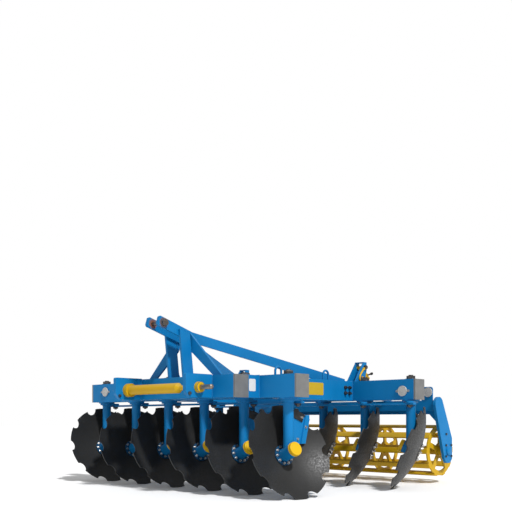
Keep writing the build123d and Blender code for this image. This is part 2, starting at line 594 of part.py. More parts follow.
def make_end_arm(x_range):
    """Plate that carries an end of the roller."""
    foot_height = 2 * ARM_FOOT_BELOW_AXLE
    foot = Pos(ROLLER_Y, ROLLER_Z) * Rectangle(ARM_WIDTH, foot_height)
    foot = chamfer(foot.vertices().group_by(Axis.Y)[0], ARM_FOOT_CORNER)
    head = Pos(CROSS_TUBE_Y, ARM_TOP_Z - ARM_WIDTH / 2) * Circle(ARM_WIDTH / 2)
    outline = make_hull((Sketch() + [foot, head]).edges())
    outline -= Pos(ROLLER_Y, ROLLER_Z) * Circle(ROLLER_JOURNAL_DIAMETER / 2 + RUNNING_CLEARANCE)
    return plate_yz(outline, x_range)


def make_roller_frame():
    """Cross tube with a stiffening strip below, two pivot arms, two end arms and two sign plates."""
    half_tube = CROSS_TUBE_SIZE / 2
    arm_inside = ROLLER_LENGTH / 2 + ROLLER_TO_ARM
    x_low, x_high = ROLLER_CENTRE_X - arm_inside, ROLLER_CENTRE_X + arm_inside
    bottom = CROSS_TUBE_Z - half_tube
    tube = make_tube((x_low, x_high), around(CROSS_TUBE_Y, half_tube), around(CROSS_TUBE_Z, half_tube),
                     "X", CROSS_TUBE_WALL)
    web = make_face(Polyline(
        (x_low, bottom),
        (x_low, bottom - GUSSET_SIZE),
        (x_low + GUSSET_SIZE - STRIP_HEIGHT, bottom - STRIP_HEIGHT),
        (x_high - GUSSET_SIZE + STRIP_HEIGHT, bottom - STRIP_HEIGHT),
        (x_high, bottom - GUSSET_SIZE),
        (x_high, bottom),
        close=True))
    web = Pos(0, CROSS_TUBE_Y - STRIP_THICKNESS / 2, 0) * (Plane.XZ * extrude(web, -STRIP_THICKNESS))
    frame = [tube, web, make_end_arm((x_low - ARM_THICKNESS, x_low)), make_end_arm((x_high, x_high + ARM_THICKNESS))]
    sign = Rectangle(SIGN_PLATE_WIDTH, SIGN_PLATE_HEIGHT, align=(Align.CENTER, Align.MIN))
    sign = Plane.XZ * extrude(fillet(sign.vertices().group_by(Axis.Y)[-1], SIGN_PLATE_CORNER), SIGN_PLATE_THICKNESS)
    for x in around(ROLLER_CENTRE_X, arm_inside - SIGN_PLATE_INSET - SIGN_PLATE_WIDTH / 2):
        frame.append(Pos(x, CROSS_TUBE_Y - half_tube + SIGN_PLATE_THICKNESS, CROSS_TUBE_Z + half_tube) * sign)
    for x in tower_places:
        frame.append(make_pivot_arm(x))
    return frame


screw_top = Vector(0, TOWER_TOP_Y, TOWER_TOP_Z)
screw_foot = Vector(0, SCREW_LUG_Y, SCREW_LUG_Z)
screw_line = (screw_foot - screw_top).normalized()
screw_length = (screw_foot - screw_top).length


def make_barrel(x):
    """Upper eye and barrel of a depth screw, with its pin in the tower."""
    plane = Plane(origin=(x, TOWER_TOP_Y, TOWER_TOP_Z), x_dir=(1, 0, 0), z_dir=screw_line)
    pin_half = TOWER_HALF_GAP + TOWER_PLATE_THICKNESS + SCREW_PIN_OVERHANG
    barrel = Cylinder(BARREL_DIAMETER / 2, BARREL_LENGTH, align=LOW)
    bore = Cylinder(SCREW_DIAMETER / 2 + RUNNING_CLEARANCE, BARREL_LENGTH, align=LOW)
    barrel -= Pos(0, 0, BARREL_BORE_START) * bore
    pin = rod((x - pin_half, TOWER_TOP_Y, TOWER_TOP_Z), (x + pin_half, TOWER_TOP_Y, TOWER_TOP_Z),
              SCREW_PIN_DIAMETER / 2)
    return plane * barrel + pin


def make_screw(x):
    """Threaded rod and lower eye of a depth screw."""
    plane = Plane(origin=(x, SCREW_LUG_Y, SCREW_LUG_Z), x_dir=(1, 0, 0), z_dir=-screw_line)
    eye = plane * Rot(0, 90, 0) * Cylinder(SCREW_EYE_RADIUS, SCREW_EYE_THICKNESS)
    shank_end = screw_length - SCREW_INSIDE_BARREL_START
    shank = plane * Cylinder(SCREW_DIAMETER / 2, shank_end, align=LOW)
    hole = plane * Rot(0, 90, 0) * Cylinder(SCREW_PIN_DIAMETER / 2 + SCREW_EYE_CLEARANCE, 2 * SCREW_EYE_THICKNESS)
    return eye + shank - hole


def make_roller():
    """Cage roller: central tube, spoked discs and bars round the outside."""
    x_low = ROLLER_CENTRE_X - ROLLER_LENGTH / 2
    x_high = ROLLER_CENTRE_X + ROLLER_LENGTH / 2
    bar_depth = ROLLER_BAR_THICKNESS
    disc_outside = ROLLER_RADIUS - bar_depth / 2
    spokes = Sketch()
    for i in range(ROLLER_SPOKE_COUNT):
        angle = 360 / ROLLER_SPOKE_COUNT * i + 90
        spokes += Rot(0, 0, angle) * Pos(disc_outside / 2, 0) * Rectangle(disc_outside, ROLLER_SPOKE_WIDTH)
    wheel_shape = Circle(disc_outside) - Circle(disc_outside - ROLLER_RIM_WIDTH)
    wheel_shape += (spokes & Circle(disc_outside - 1)) + Circle(ROLLER_HUB_DIAMETER / 2)
    tube_reach = ROLLER_TO_ARM - ROLLER_TUBE_END_GAP
    roller = rod((x_low - tube_reach, ROLLER_Y, ROLLER_Z), (x_high + tube_reach, ROLLER_Y, ROLLER_Z),
                 ROLLER_TUBE_DIAMETER / 2)
    reach = ROLLER_TO_ARM + ARM_THICKNESS + ROLLER_JOURNAL_OVERHANG
    roller += rod((x_low - reach, ROLLER_Y, ROLLER_Z), (x_high + reach, ROLLER_Y, ROLLER_Z),
                  ROLLER_JOURNAL_DIAMETER / 2)
    step = (ROLLER_LENGTH - ROLLER_DISC_THICKNESS) / (ROLLER_DISC_COUNT - 1)
    for i in range(ROLLER_DISC_COUNT):
        wheel = plate_yz(wheel_shape, (x_low + step * i, x_low + step * i + ROLLER_DISC_THICKNESS))
        roller += Pos(0, ROLLER_Y, ROLLER_Z) * wheel
    for i in range(ROLLER_BAR_COUNT):
        angle = 360 / ROLLER_BAR_COUNT * i
        section = Rot(0, 0, angle) * Pos(ROLLER_RADIUS - bar_depth / 2, 0) * Rectangle(bar_depth, ROLLER_BAR_WIDTH)
        roller += Pos(0, ROLLER_Y, ROLLER_Z) * plate_yz(section, (x_low, x_high))
    return roller


def make_lifting_eyes():
    """Bent round bars on top of the rails."""
    eyes = []
    bend = EYE_INSIDE_RADIUS + EYE_ROD_DIAMETER / 2
    path = Line((-bend, 0), (-bend, EYE_LEG_LENGTH)) + RadiusArc((-bend, EYE_LEG_LENGTH), (bend, EYE_LEG_LENGTH), bend)
    path += Line((bend, EYE_LEG_LENGTH), (bend, 0))
    route = Plane.YZ * path
    start = Plane(origin=route @ 0, z_dir=route % 0)
    eye = sweep(start * Circle(EYE_ROD_DIAMETER / 2), path=route)
    for side in (-1, 1):
        for y in EYE_PLACES_Y:
            eyes.append(Pos(side * (RAIL_OUTSIDE_X - RAIL_WIDTH / 2), y, BEAM_TOP_Z) * eye)
    return eyes


# All pieces by name, before the move to the footprint's middle
pieces = {
    "hitch_beam": make_tube(
        around(0, RAIL_OUTSIDE_X - END_CAP_THICKNESS), around(HITCH_BEAM_Y, BEAM_WIDTH / 2),
        (BEAM_BOTTOM_Z, BEAM_TOP_Z), "X", TUBE_WALL),
    "front_disc_beam": make_disc_beam(FRONT_ROW_CENTRE_X, 0.0, FRONT_BEAM_OVERHANG),
    "rear_disc_beam": make_disc_beam(REAR_ROW_CENTRE_X, ROW_DISTANCE, REAR_BEAM_OVERHANG),
    "beam_end_caps": make_end_caps(),
    "side_rails": make_side_rails(),
    "mast_uprights": make_mast_uprights(),
    "mast_fork": make_fork(),
    "mast_legs": make_mast_legs(),
    "rear_braces": make_rear_braces(),
    "top_link_pin": make_top_pin(),
    "hitch_cheeks": make_hitch_plates(),
    "lower_link_pins": make_lower_pins(),
    "hitch_tube": make_hitch_tube(),
    "screw_towers": make_towers(),
    "lifting_eyes": make_lifting_eyes(),
    "roller_frame": make_roller_frame(),
    "cage_roller": make_roller(),
}
for side, x in zip(("left", "right"), tower_places):
    pieces[f"depth_barrel_{side}"] = make_barrel(x)
    pieces[f"depth_screw_{side}"] = make_screw(x)

disc = make_disc()
# name, centre_x, row_y, attack, side of the lever, mirrored
rows = [
    ("front", FRONT_ROW_CENTRE_X, 0.0, FRONT_ATTACK, 1, False),
    ("rear", REAR_ROW_CENTRE_X, ROW_DISTANCE, REAR_ATTACK, -1, True),
]
joint_places = {}
for row, centre_x, row_y, attack, lever_side, mirrored in rows:
    post = make_post(lever_side)
    turn = attack if mirrored else -attack
    # A disc is the same seen from either side, so half a turn about its post does for a mirror image
    unit = [mirror(post, Plane.YZ), Rot(0, 0, 180) * disc] if mirrored else [post, disc]
    unit = [Rot(0, 0, turn) * shape for shape in unit]
    toward = -1 if mirrored else 1
    lever_x = LEVER_RADIUS * sin(radians(attack))
    lever_y = lever_side * LEVER_RADIUS * cos(radians(attack))
    pieces[f"{row}_tie_bar"] = make_tie_bar(centre_x, row_y, (lever_x, lever_y))
    for i, x in enumerate(row_places(centre_x), start=1):
        pieces[f"{row}_post_{i}"] = Pos(x, row_y, 0) * unit[0]
        pieces[f"{row}_disc_{i}"] = Pos(x, row_y, 0) * unit[1]
        spin = Vector(toward * hollow_side.X * cos(radians(attack)), -hollow_side.X * sin(radians(attack)), hollow_side.Z)
        joint_places[f"{row}_post_{i}"] = (x, row_y, BEAM_BOTTOM_Z, 0, 0, 1)
        joint_places[f"{row}_disc_{i}"] = (x, row_y, HUB_Z, *spin)
        joint_places[f"{row}_link_{i}"] = (x + lever_x, row_y + lever_y, TIE_BAR_BOTTOM_Z, 0, 0, 1)

joint_places["roller_frame"] = (0, FRAME_PIVOT_Y, FRAME_PIVOT_Z, 1, 0, 0)
joint_places["cage_roller"] = (ROLLER_CENTRE_X, ROLLER_Y, ROLLER_Z, 1, 0, 0)
for side, x in zip(("left", "right"), tower_places):
    joint_places[f"depth_barrel_{side}"] = (x, TOWER_TOP_Y, TOWER_TOP_Z, 1, 0, 0)
    joint_places[f"depth_screw_{side}"] = (x, SCREW_LUG_Y, SCREW_LUG_Z, *screw_line)
joint_places["lower_pin"] = (HITCH_PLATE_X, LOWER_PIN_Y, LOWER_PIN_Z, 1, 0, 0)
joint_places["top_pin"] = (0, TOP_PIN_Y, TOP_PIN_Z, 1, 0, 0)

# The origin is the middle of the footprint, on the ground
solids = {name: Compound(children=list(shape)) if isinstance(shape, list) else shape for name, shape in pieces.items()}
boxes = [shape.bounding_box() for shape in solids.values()]
centre_x = (min(b.min.X for b in boxes) + max(b.max.X for b in boxes)) / 2
centre_y = (min(b.min.Y for b in boxes) + max(b.max.Y for b in boxes)) / 2
ground_z = min(b.min.Z for b in boxes)

os.makedirs("parts", exist_ok=True)
for name, shape in solids.items():
    export_step(Pos(-centre_x, -centre_y, -ground_z) * shape, f"parts/{name}.step")
for name, (x, y, z, *axis) in joint_places.items():
    print("place", name, *(round(v, 4) for v in (x - centre_x, y - centre_y, z - ground_z, *axis)))
print("moved by", round(-centre_x, 3), round(-centre_y, 3), round(-ground_z, 3))
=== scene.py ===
import json
from math import atan2, cos, pi, radians

import bmesh
import bpy
from mathutils import Matrix, Vector


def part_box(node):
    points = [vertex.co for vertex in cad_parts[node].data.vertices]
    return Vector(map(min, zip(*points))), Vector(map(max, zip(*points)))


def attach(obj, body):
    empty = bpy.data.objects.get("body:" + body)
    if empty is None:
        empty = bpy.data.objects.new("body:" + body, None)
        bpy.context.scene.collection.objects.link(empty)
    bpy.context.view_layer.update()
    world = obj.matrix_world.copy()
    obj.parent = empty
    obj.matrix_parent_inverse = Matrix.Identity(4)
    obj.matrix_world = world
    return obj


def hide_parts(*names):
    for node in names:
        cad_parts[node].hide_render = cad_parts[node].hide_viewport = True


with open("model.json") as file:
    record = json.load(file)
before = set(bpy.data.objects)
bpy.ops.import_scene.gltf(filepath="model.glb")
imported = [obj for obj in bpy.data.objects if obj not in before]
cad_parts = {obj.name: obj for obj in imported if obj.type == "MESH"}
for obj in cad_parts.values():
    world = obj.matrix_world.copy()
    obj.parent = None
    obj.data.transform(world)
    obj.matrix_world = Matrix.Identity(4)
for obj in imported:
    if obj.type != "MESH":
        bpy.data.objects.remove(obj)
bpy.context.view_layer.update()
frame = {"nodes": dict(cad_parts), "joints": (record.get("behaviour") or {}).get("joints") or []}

bl_info = {
    "name": "Mounted disc harrow",
    "version": (1, 0, 0),
    "blender": (4, 5, 0),
    "location": "3D View > Sidebar > Disc harrow",
    "description": "Paint, fasteners and small fittings of a two-row disc harrow with a cage roller",
    "category": "Object",
}

JOINTS = {joint["name"]: joint for joint in frame["joints"]}
POSTS = [(row, unit) for row in ("front", "rear") for unit in range(1, 7)]
SIDES = (-1, 1)
MM = 0.001
MERGE = 1e-6

# Millimetres from the hitch's centre plane, the front posts and the ground
TUBE_LOW, TUBE_TOP = 565.0, 695.0
RAIL_IN, RAIL_OUT = 422.0, 522.0
RAIL_MIDDLE = (RAIL_IN + RAIL_OUT) / 2
TOWERS = {"left": 495.0, "right": -615.0}
TOWER_IN, TOWER_OUT = 26.0, 36.0
ARM_OUTSIDES = {"left": (905.0, 1), "right": (-1025.0, -1)}
ARM_THICKNESS = 20.0
REFLECTOR_PLATES = {"left": 840.0, "right": -960.0}
CROSS_TUBE_FRONT, CROSS_TUBE_BACK, CROSS_TUBE_TOP = 1289.0, 1359.0, 571.0
ROLLER_AXLE = (1450.0, 225.0)
ROLLER_MIDDLE = -60.0
ROLLER_BARS = 10
ROLLER_WHEELS = 5
SCREW_TOP, SCREW_FOOT = (987.0, 795.0), (1105.0, 680.0)
FRAME_PIVOT = (1010.0, 630.0)
TOP_PIN = (-382.0, 1010.0)
LOWER_PIN = (-362.0, 622.0)
CHEEK_IN, CHEEK_OUT = 312.5, 337.5
LAMP_AIM = (0.0, 500.0, 350.0)
# The ways that faces look, on the machine's left half
OUT, FRONT, UP = (1, 0, 0), (0, -1, 0), (0, 0, 1)
IN, BACK, DOWN = (-1, 0, 0), (0, 1, 0), (0, 0, -1)

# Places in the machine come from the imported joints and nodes
FRONT_POST = JOINTS["front_row_angle"]["pos_m"]
HITCH_CENTRE_X = sum(corner.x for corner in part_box("lower_link_pins")) / 2
ORIGIN = Vector((HITCH_CENTRE_X, FRONT_POST[1], FRONT_POST[2] - TUBE_LOW * MM))

# Heights over a post's place under its beam and along a hub's axis, in metres
POST_TOP = 0.1305
HUB_END = 0.052
DISH_MIDDLE = -0.0522
DISC_BOLT_SEAT, DISC_BOLT_BACK = -0.04, -0.058
SCRAPER_TURN = radians(16.0)
# Widths across the flats of the bolts' heads, and the length of thread that shows, in metres
STRAP_BOLT, FITTING_BOLT, CHEEK_BOLT, SPLICE_BOLT, PIVOT_BOLT = 0.01, 0.013, 0.016, 0.02, 0.024
SHORT_TAIL, LONG_TAIL = 0.004, 0.008
FLOOR_HALF = 40.0
SENSOR_WIDTH = 36.0

# The colours of dirt and wear
PRIMER_GREY = (0.17, 0.17, 0.165)
SETTLED_DUST = (0.36, 0.34, 0.3)
PAINT_RUST = (0.2, 0.075, 0.028)
RUST_FILM = (0.21, 0.135, 0.085)
RUST_SPECK = (0.16, 0.065, 0.028)

# How a imported node's name starts, and its material: the first that fits
NODE_MATERIALS = (
    ("mast_fork", "fork_blue_enamel"), ("beam_end_caps", "end_plate_grey"),
    ("cage_roller", "yellow_enamel_painted_shade"), ("hitch_tube", "yellow_enamel_painted_shade"),
    ("lower_link_pins", "pin_worn_steel"), ("top_link_pin", "pin_rusty_steel"),
    ("front_disc_beam", "frame_blue_enamel"), ("rear_disc_beam", "frame_blue_enamel"),
    ("front_disc_", "disc_black_steel"), ("rear_disc_", "disc_black_steel"),
    ("depth_screw", "pin_bare_steel"), ("depth_barrel", "cap_yellow_enamel"),
    ("", "frame_blue_enamel"))
# What all colours that a user can change share
COLOUR = {"subtype": "COLOR", "size": 3, "min": 0.0, "max": 1.0}


def at(x, y, z):
    """A place in millimetres from the hitch's centre plane, the front posts and the ground."""
    return ORIGIN + Vector((x, y, z)) * MM


def shift(x, y, z):
    """A move, in metres."""
    return Matrix.Translation((x, y, z))


def lift(matrix, height):
    """The same frame, moved along its own Z axis."""
    return matrix @ shift(0, 0, height)


def turned(angle, axis):
    """A turn about one axis."""
    return Matrix.Rotation(angle, 4, axis)


def axis_matrix(origin, direction):
    """A frame whose Z axis lies along a direction."""
    turn = Vector(direction).normalized().to_track_quat("Z", "Y").to_matrix().to_4x4()
    return Matrix.Translation(origin) @ turn


def across(x, place, side):
    """A frame at a place in millimetres whose Z axis points out to one side of the machine."""
    return axis_matrix(at(x, *place), (side, 0, 0))


def facing_side(side):
    """A turn that lays a plate's width along the machine and its face out to one side."""
    return Matrix(((0, 0, side), (side, 0, 0), (0, 1, 0))).to_4x4()


def strap_turn(place):
    """The turn about a plate's own axis that lays its width level."""
    level = place.to_3x3().inverted() @ Vector((1, 0, 0))
    return atan2(level.y, level.x)


def post_base(row, unit):
    """The place where a post enters the beam from below."""
    name = f"{row}_row_angle" if unit == 1 else f"{row}_post_{unit}_angle"
    return Vector(JOINTS[name]["pos_m"])


def nut_turn(row, unit):
    """The turn of a post's own hexagons, read from the top corner that stands out furthest."""
    base = post_base(row, unit)
    corners = [v.co - base for v in frame["nodes"][f"{row}_post_{unit}"].data.vertices]
    top = max(corner.z for corner in corners)
    highest = (corner for corner in corners if corner.z > top - 0.0005)
    widest = max(highest, key=lambda corner: corner.x**2 + corner.y**2)
    return atan2(widest.y, widest.x) - pi / 2


def hub_place(row, unit):
    """A frame at a disc's hub whose Z axis points out of the hollow side."""
    joint = JOINTS[f"{row}_disc_{unit}_spin"]
    return axis_matrix(Vector(joint["pos_m"]), joint["axis"])


def scraper_place(row, unit):
    """A frame on a post at ground height: X across the scraper, Y out along it, Z up."""
    base = post_base(row, unit)
    base.z = ORIGIN.z
    spin = Vector(JOINTS[f"{row}_disc_{unit}_spin"]["axis"])
    if row == "front":
        turn = atan2(spin.y, spin.x) + SCRAPER_TURN
        return shift(*base) @ turned(turn, "Z")
    turn = atan2(-spin.y, -spin.x) - SCRAPER_TURN
    return shift(*base) @ turned(turn, "Z") @ Matrix.Scale(-1, 4, (1, 0, 0))


def add_object(name, data):
    """A new object in the scene."""
    made = bpy.data.objects.new(name, data)
    bpy.context.scene.collection.objects.link(made)
    return made


def finish_piece(name, bm, finish, body, sharp=35.0):
    """Makes an object of a mesh under construction, shades it and lets it ride on a body."""
    bmesh.ops.remove_doubles(bm, verts=bm.verts, dist=MERGE)
    bmesh.ops.recalc_face_normals(bm, faces=bm.faces)
    for face in bm.faces:
        face.smooth = True
    for edge in bm.edges:
        edge.smooth = len(edge.link_faces) == 2 and edge.calc_face_angle(0.0) < radians(sharp)
    mesh = bpy.data.meshes.new(name)
    bm.to_mesh(mesh)
    bm.free()
    mesh.materials.append(bpy.data.materials[finish])
    piece = add_object(name, mesh)
    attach(piece, body)
    return piece


def edges_of(verts):
    """All the edges that meet at some corners."""
    return list({edge for vertex in verts for edge in vertex.link_edges})


def edges_by_axis(verts, matrix, along):
    """The edges at some corners that run along the matrix's Z axis, or those across it."""
    axis = (matrix.to_3x3() @ Vector(UP)).normalized()
    return [e for e in edges_of(verts)
            if (abs((e.verts[0].co - e.verts[1].co).normalized().dot(axis)) > 0.5) == along]


def bevel_edges(bm, edges, offset, segments=2):
    """Rounds some edges."""
    bmesh.ops.bevel(bm, geom=edges, offset=offset, segments=segments, profile=0.5,
                    affect="EDGES", material=-1)


def spin_outline(bm, geometry, steps):
    """Turns an outline in the XZ plane once round the Z axis and gives the corners made."""
    before = set(bm.faces)
    bmesh.ops.spin(bm, geom=geometry, cent=(0, 0, 0), axis=(0, 0, 1), angle=2 * pi, steps=steps,
                   use_merge=True, use_duplicate=False)
    return list({v for face in set(bm.faces) - before for v in face.verts})


def add_drum(bm, matrix, radius, length, sides=32, bevel=0.0):
    """A round bar from the matrix's origin along its Z axis, with its rims bevelled."""
    made = bmesh.ops.create_cone(
        bm, cap_ends=True, segments=sides, radius1=radius, radius2=radius, depth=length,
        matrix=lift(matrix, length / 2))
    if bevel:
        bevel_edges(bm, edges_by_axis(made["verts"], matrix, along=False), bevel)


def add_lathe(bm, matrix, profile, sides=40):
    """A turned shape round the matrix's Z axis. Its (radius, height) rows start and end on the
    axis, or come back to their start for a ring."""
    points = [bm.verts.new((radius, 0.0, height)) for radius, height in profile]
    edges = [bm.edges.new(pair) for pair in zip(points, points[1:])]
    corners = spin_outline(bm, points + edges, sides)
    bmesh.ops.remove_doubles(bm, verts=corners, dist=MERGE)
    bmesh.ops.transform(bm, matrix=matrix, verts=[v for v in corners if v.is_valid])


def add_ring(bm, matrix, radius, rod, sides=32, rod_sides=10):
    """A ring of round rod about the matrix's Z axis."""
    upright = shift(radius, 0, 0) @ turned(pi / 2, "X")
    made = bmesh.ops.create_circle(bm, segments=rod_sides, radius=rod, matrix=upright)
    corners = spin_outline(bm, made["verts"] + edges_of(made["verts"]), sides)
    bmesh.ops.transform(bm, matrix=matrix, verts=corners)


def add_wire(bm, points, radius, sides=12):
    """A bent round bar through a few points, closed at its ends."""
    last = len(points) - 1
    loops = []
    for i, point in enumerate(points):
        along = points[min(i + 1, last)] - points[max(i - 1, 0)]
        made = bmesh.ops.create_circle(
            bm, cap_ends=i in (0, last), segments=sides, radius=radius,
            matrix=axis_matrix(point, along))
        loops.append(edges_of(made["verts"]))
    for first, second in zip(loops, loops[1:]):
        bmesh.ops.bridge_loops(bm, edges=first + second)


def add_plate(bm, matrix, width, height, thickness, corner):
    """A plate with rounded corners that stands on the matrix's origin, its thickness along Z."""
    size = Matrix.Diagonal((width, height, thickness, 1.0))
    made = bmesh.ops.create_cube(bm, size=1.0, matrix=lift(matrix, thickness / 2) @ size)
    bevel_edges(bm, edges_by_axis(made["verts"], matrix, along=True), corner, 5)


def hex_radius(across_flats):
    """The radius of a hexagon's corners."""
    return across_flats / 2 / cos(pi / 6)


def add_stack(bm, matrix, rows):
    """Washers, nuts and thread ends on one axis: each row's height, radius, length, sides and
    bevel."""
    for height, radius, length, sides, bevel in rows:
        add_drum(bm, lift(matrix, height), radius, length, sides, bevel)


def add_bolt(bm, matrix, across_flats, tail=0.0):
    """A washer and hexagonal head that stand on a surface, with the thread's end if asked."""
    washer, head, top = (across_flats * share for share in (0.1, 0.55, 0.65))
    add_stack(bm, matrix, (
        (0, across_flats * 0.62, washer, 24, 0.0003),
        (washer, hex_radius(across_flats), head, 6, across_flats * 0.05)))
    if tail:
        thread = (top, across_flats * 0.3, tail, 16, across_flats * 0.04)
        add_stack(bm, matrix, (thread,))


def add_block(bm, low, high, bevel, place=Matrix()):
    """A rectangular block between two corners, with rounded edges."""
    size = Matrix.Diagonal((*(high - low), 1.0))
    made = bmesh.ops.create_cube(
        bm, size=1.0, matrix=place @ Matrix.Translation((low + high) / 2) @ size)
    bevel_edges(bm, edges_of(made["verts"]), bevel)


def add_slab(bm, corners, push):
    """An outline pushed along a vector into a slab. Gives the corners of the far face."""
    face = bm.faces.new([bm.verts.new(corner) for corner in corners])
    made = bmesh.ops.extrude_face_region(bm, geom=[face])
    lifted = [v for v in made["geom"] if isinstance(v, bmesh.types.BMVert)]
    bmesh.ops.translate(bm, verts=lifted, vec=push)
    return lifted


def add_bead(bm, start, end, radius, out_a, out_b):
    """A weld bead along a corner: a ridge of short scales that leans on two faces."""
    # a scale's spacing and height in bead radii, and its half length in spacings
    spacing, height, reach = 1.1, 0.62, 0.72
    along = end - start
    count = max(4, int(along.length / (radius * spacing)))
    step = along / count
    outward = (Vector(out_a) + Vector(out_b)).normalized()
    side = along.normalized().cross(outward)
    turn = Matrix((side, along.normalized(), outward)).transposed().to_4x4()
    scale = Matrix.Diagonal((radius, step.length * reach, radius * height, 1.0))
    for i in range(count):
        centre = Matrix.Translation(start + step * (i + 0.5))
        bmesh.ops.create_icosphere(bm, subdivisions=1, radius=1.0, matrix=centre @ turn @ scale)


def add_seams(bm, x, side, seams, radius):
    """Beads on a plate's face that looks to one side, from rows of their start, their end and
    the other face that they lean on."""
    for start, end, lean in seams:
        add_bead(bm, at(x, *start), at(x, *end), radius, (side, 0, 0), lean)


def turned_piece(name, place, profile, sides, finish, body, sharp=35.0):
    """A turned shape as a piece of its own."""
    bm = bmesh.new()
    add_lathe(bm, place, profile, sides)
    finish_piece(name, bm, finish, body, sharp)


def tint(colour, factor, more=0.0):
    """A colour made darker or lighter."""
    return tuple(c * factor + more for c in colour)


class Nodes:
    """Short ways to add and link shader nodes in one material."""

    INPUTS = {"colour": "Base Color", "metal": "Metallic", "roughness": "Roughness",
              "coat": "Coat Weight", "specular": "Specular IOR Level"}

    def __init__(self, name, colour):
        self.material = bpy.data.materials.new(name)
        self.material.use_nodes = True
        self.material.diffuse_color = (*colour, 1.0)
        self.tree = self.material.node_tree
        self.shader = self.tree.nodes["Principled BSDF"]
        self.coordinates = self.add("ShaderNodeTexCoord").outputs["Object"]

    def add(self, kind, **settings):
        node = self.tree.nodes.new(kind)
        for key, value in settings.items():
            setattr(node, key, value)
        return node

    def feed(self, node, values):
        """Links sockets to a node's inputs and sets numbers and colours on the others."""
        for key, value in values.items():
            if isinstance(value, bpy.types.NodeSocket):
                self.tree.links.new(value, node.inputs[key])
            elif isinstance(value, tuple) and node.inputs[key].type == "RGBA":
                node.inputs[key].default_value = (*value, 1.0)
            else:
                node.inputs[key].default_value = value

    def noise(self, scale, detail=4.0, roughness=0.55, distortion=0.0):
        node = self.add("ShaderNodeTexNoise")
        self.feed(node, {"Vector": self.coordinates, "Scale": scale, "Detail": detail,
                         "Roughness": roughness, "Distortion": distortion})
        return node.outputs["Fac"]

    def ramp(self, value, low, high, start=0.0, end=1.0):
        node = self.add("ShaderNodeMapRange", clamp=True)
        self.feed(node, {"Value": value, "From Min": low, "From Max": high,
                         "To Min": start, "To Max": end})
        return node.outputs["Result"]

    def math(self, operation, a, b):
        node = self.add("ShaderNodeMath", operation=operation)
        self.feed(node, {0: a, 1: b})
        return node.outputs[0]

    def vector(self, operation, a, b, output):
        node = self.add("ShaderNodeVectorMath", operation=operation)
        self.feed(node, {0: a, 1: b})
        return node.outputs[output]

    def mix(self, factor, a, b):
        node = self.add("ShaderNodeMix", data_type="RGBA", clamp_factor=True)
        # the factor for numbers and the two colours among the node's inputs
        self.feed(node, {0: factor, 6: a, 7: b})
        return node.outputs[2]

    def edges(self, radius):
        """1 on worn edges and corners, 0 on flat faces."""
        bevel = self.add("ShaderNodeBevel", samples=4)
        bevel.inputs["Radius"].default_value = radius
        normal = self.add("ShaderNodeNewGeometry").outputs["Normal"]
        dot = self.vector("DOT_PRODUCT", bevel.outputs["Normal"], normal, "Value")
        return self.ramp(dot, 0.985, 0.8)

    def facing_up(self):
        """How far a face looks up, from 0 to 1."""
        split = self.add("ShaderNodeSeparateXYZ")
        self.feed(split, {0: self.add("ShaderNodeNewGeometry").outputs["Normal"]})
        return self.ramp(split.outputs["Z"], 0.25, 1.0)

    def bump(self, height, strength, distance):
        node = self.add("ShaderNodeBump")
        self.feed(node, {"Height": height, "Strength": strength, "Distance": distance})
        self.feed(self.shader, {"Normal": node.outputs["Normal"]})

    def surface(self, **values):
        self.feed(self.shader, {self.INPUTS[key]: value for key, value in values.items()})


def sprayed_paint(name, colour, wear, dust=0.18, rust_axis=None):
    """Sprayed enamel: orange peel, slow colour drift, worn edges with primer, dust on upward
    faces. Rust spreads in blots round an axis across the machine if one is given."""
    n = Nodes(name, colour)
    drift = n.ramp(n.noise(2.3, 3.0), 0.3, 0.7)
    tone = n.mix(drift, tint(colour, 0.86), tint(colour, 1.07, 0.004))
    scuffs = n.ramp(n.noise(46.0, 6.0, 0.7, 0.6), 0.66, 0.76, 0.0, 0.25)
    tone = n.mix(scuffs, tone, tint(colour, 0.6, 0.02))
    chips = n.ramp(n.noise(28.0, 5.0, 0.65), 0.4, 0.62, 0.0, wear)
    tone = n.mix(n.math("MULTIPLY", n.edges(0.0022), chips), tone, PRIMER_GREY)
    patches = n.ramp(n.noise(9.0, 5.0, 0.6), 0.35, 0.75, 0.0, dust)
    settled = n.math("MULTIPLY", n.facing_up(), patches)
    tone = n.mix(settled, tone, SETTLED_DUST)
    if rust_axis is not None:
        flat = n.vector("MULTIPLY", n.coordinates, (0.0, 1.0, 1.0), "Vector")
        away = n.vector("DISTANCE", flat, (0.0, rust_axis.y, rust_axis.z), "Value")
        near = n.ramp(away, 0.052, 0.014)
        blots = n.ramp(n.math("ADD", near, n.noise(52.0, 6.0, 0.7)), 0.95, 1.15)
        tone = n.mix(n.math("MULTIPLY", blots, near), tone, PAINT_RUST)
    sheen = n.ramp(n.noise(14.0, 4.0), 0.3, 0.7, 0.36, 0.5)
    peel = n.math("ADD", n.noise(520.0, 2.0), n.math("MULTIPLY", n.noise(60.0, 3.0), 0.8))
    n.bump(peel, 0.1, 0.0006)
    rough = n.math("ADD", sheen, n.math("MULTIPLY", settled, 0.6))
    n.surface(colour=tone, roughness=rough, specular=0.18)


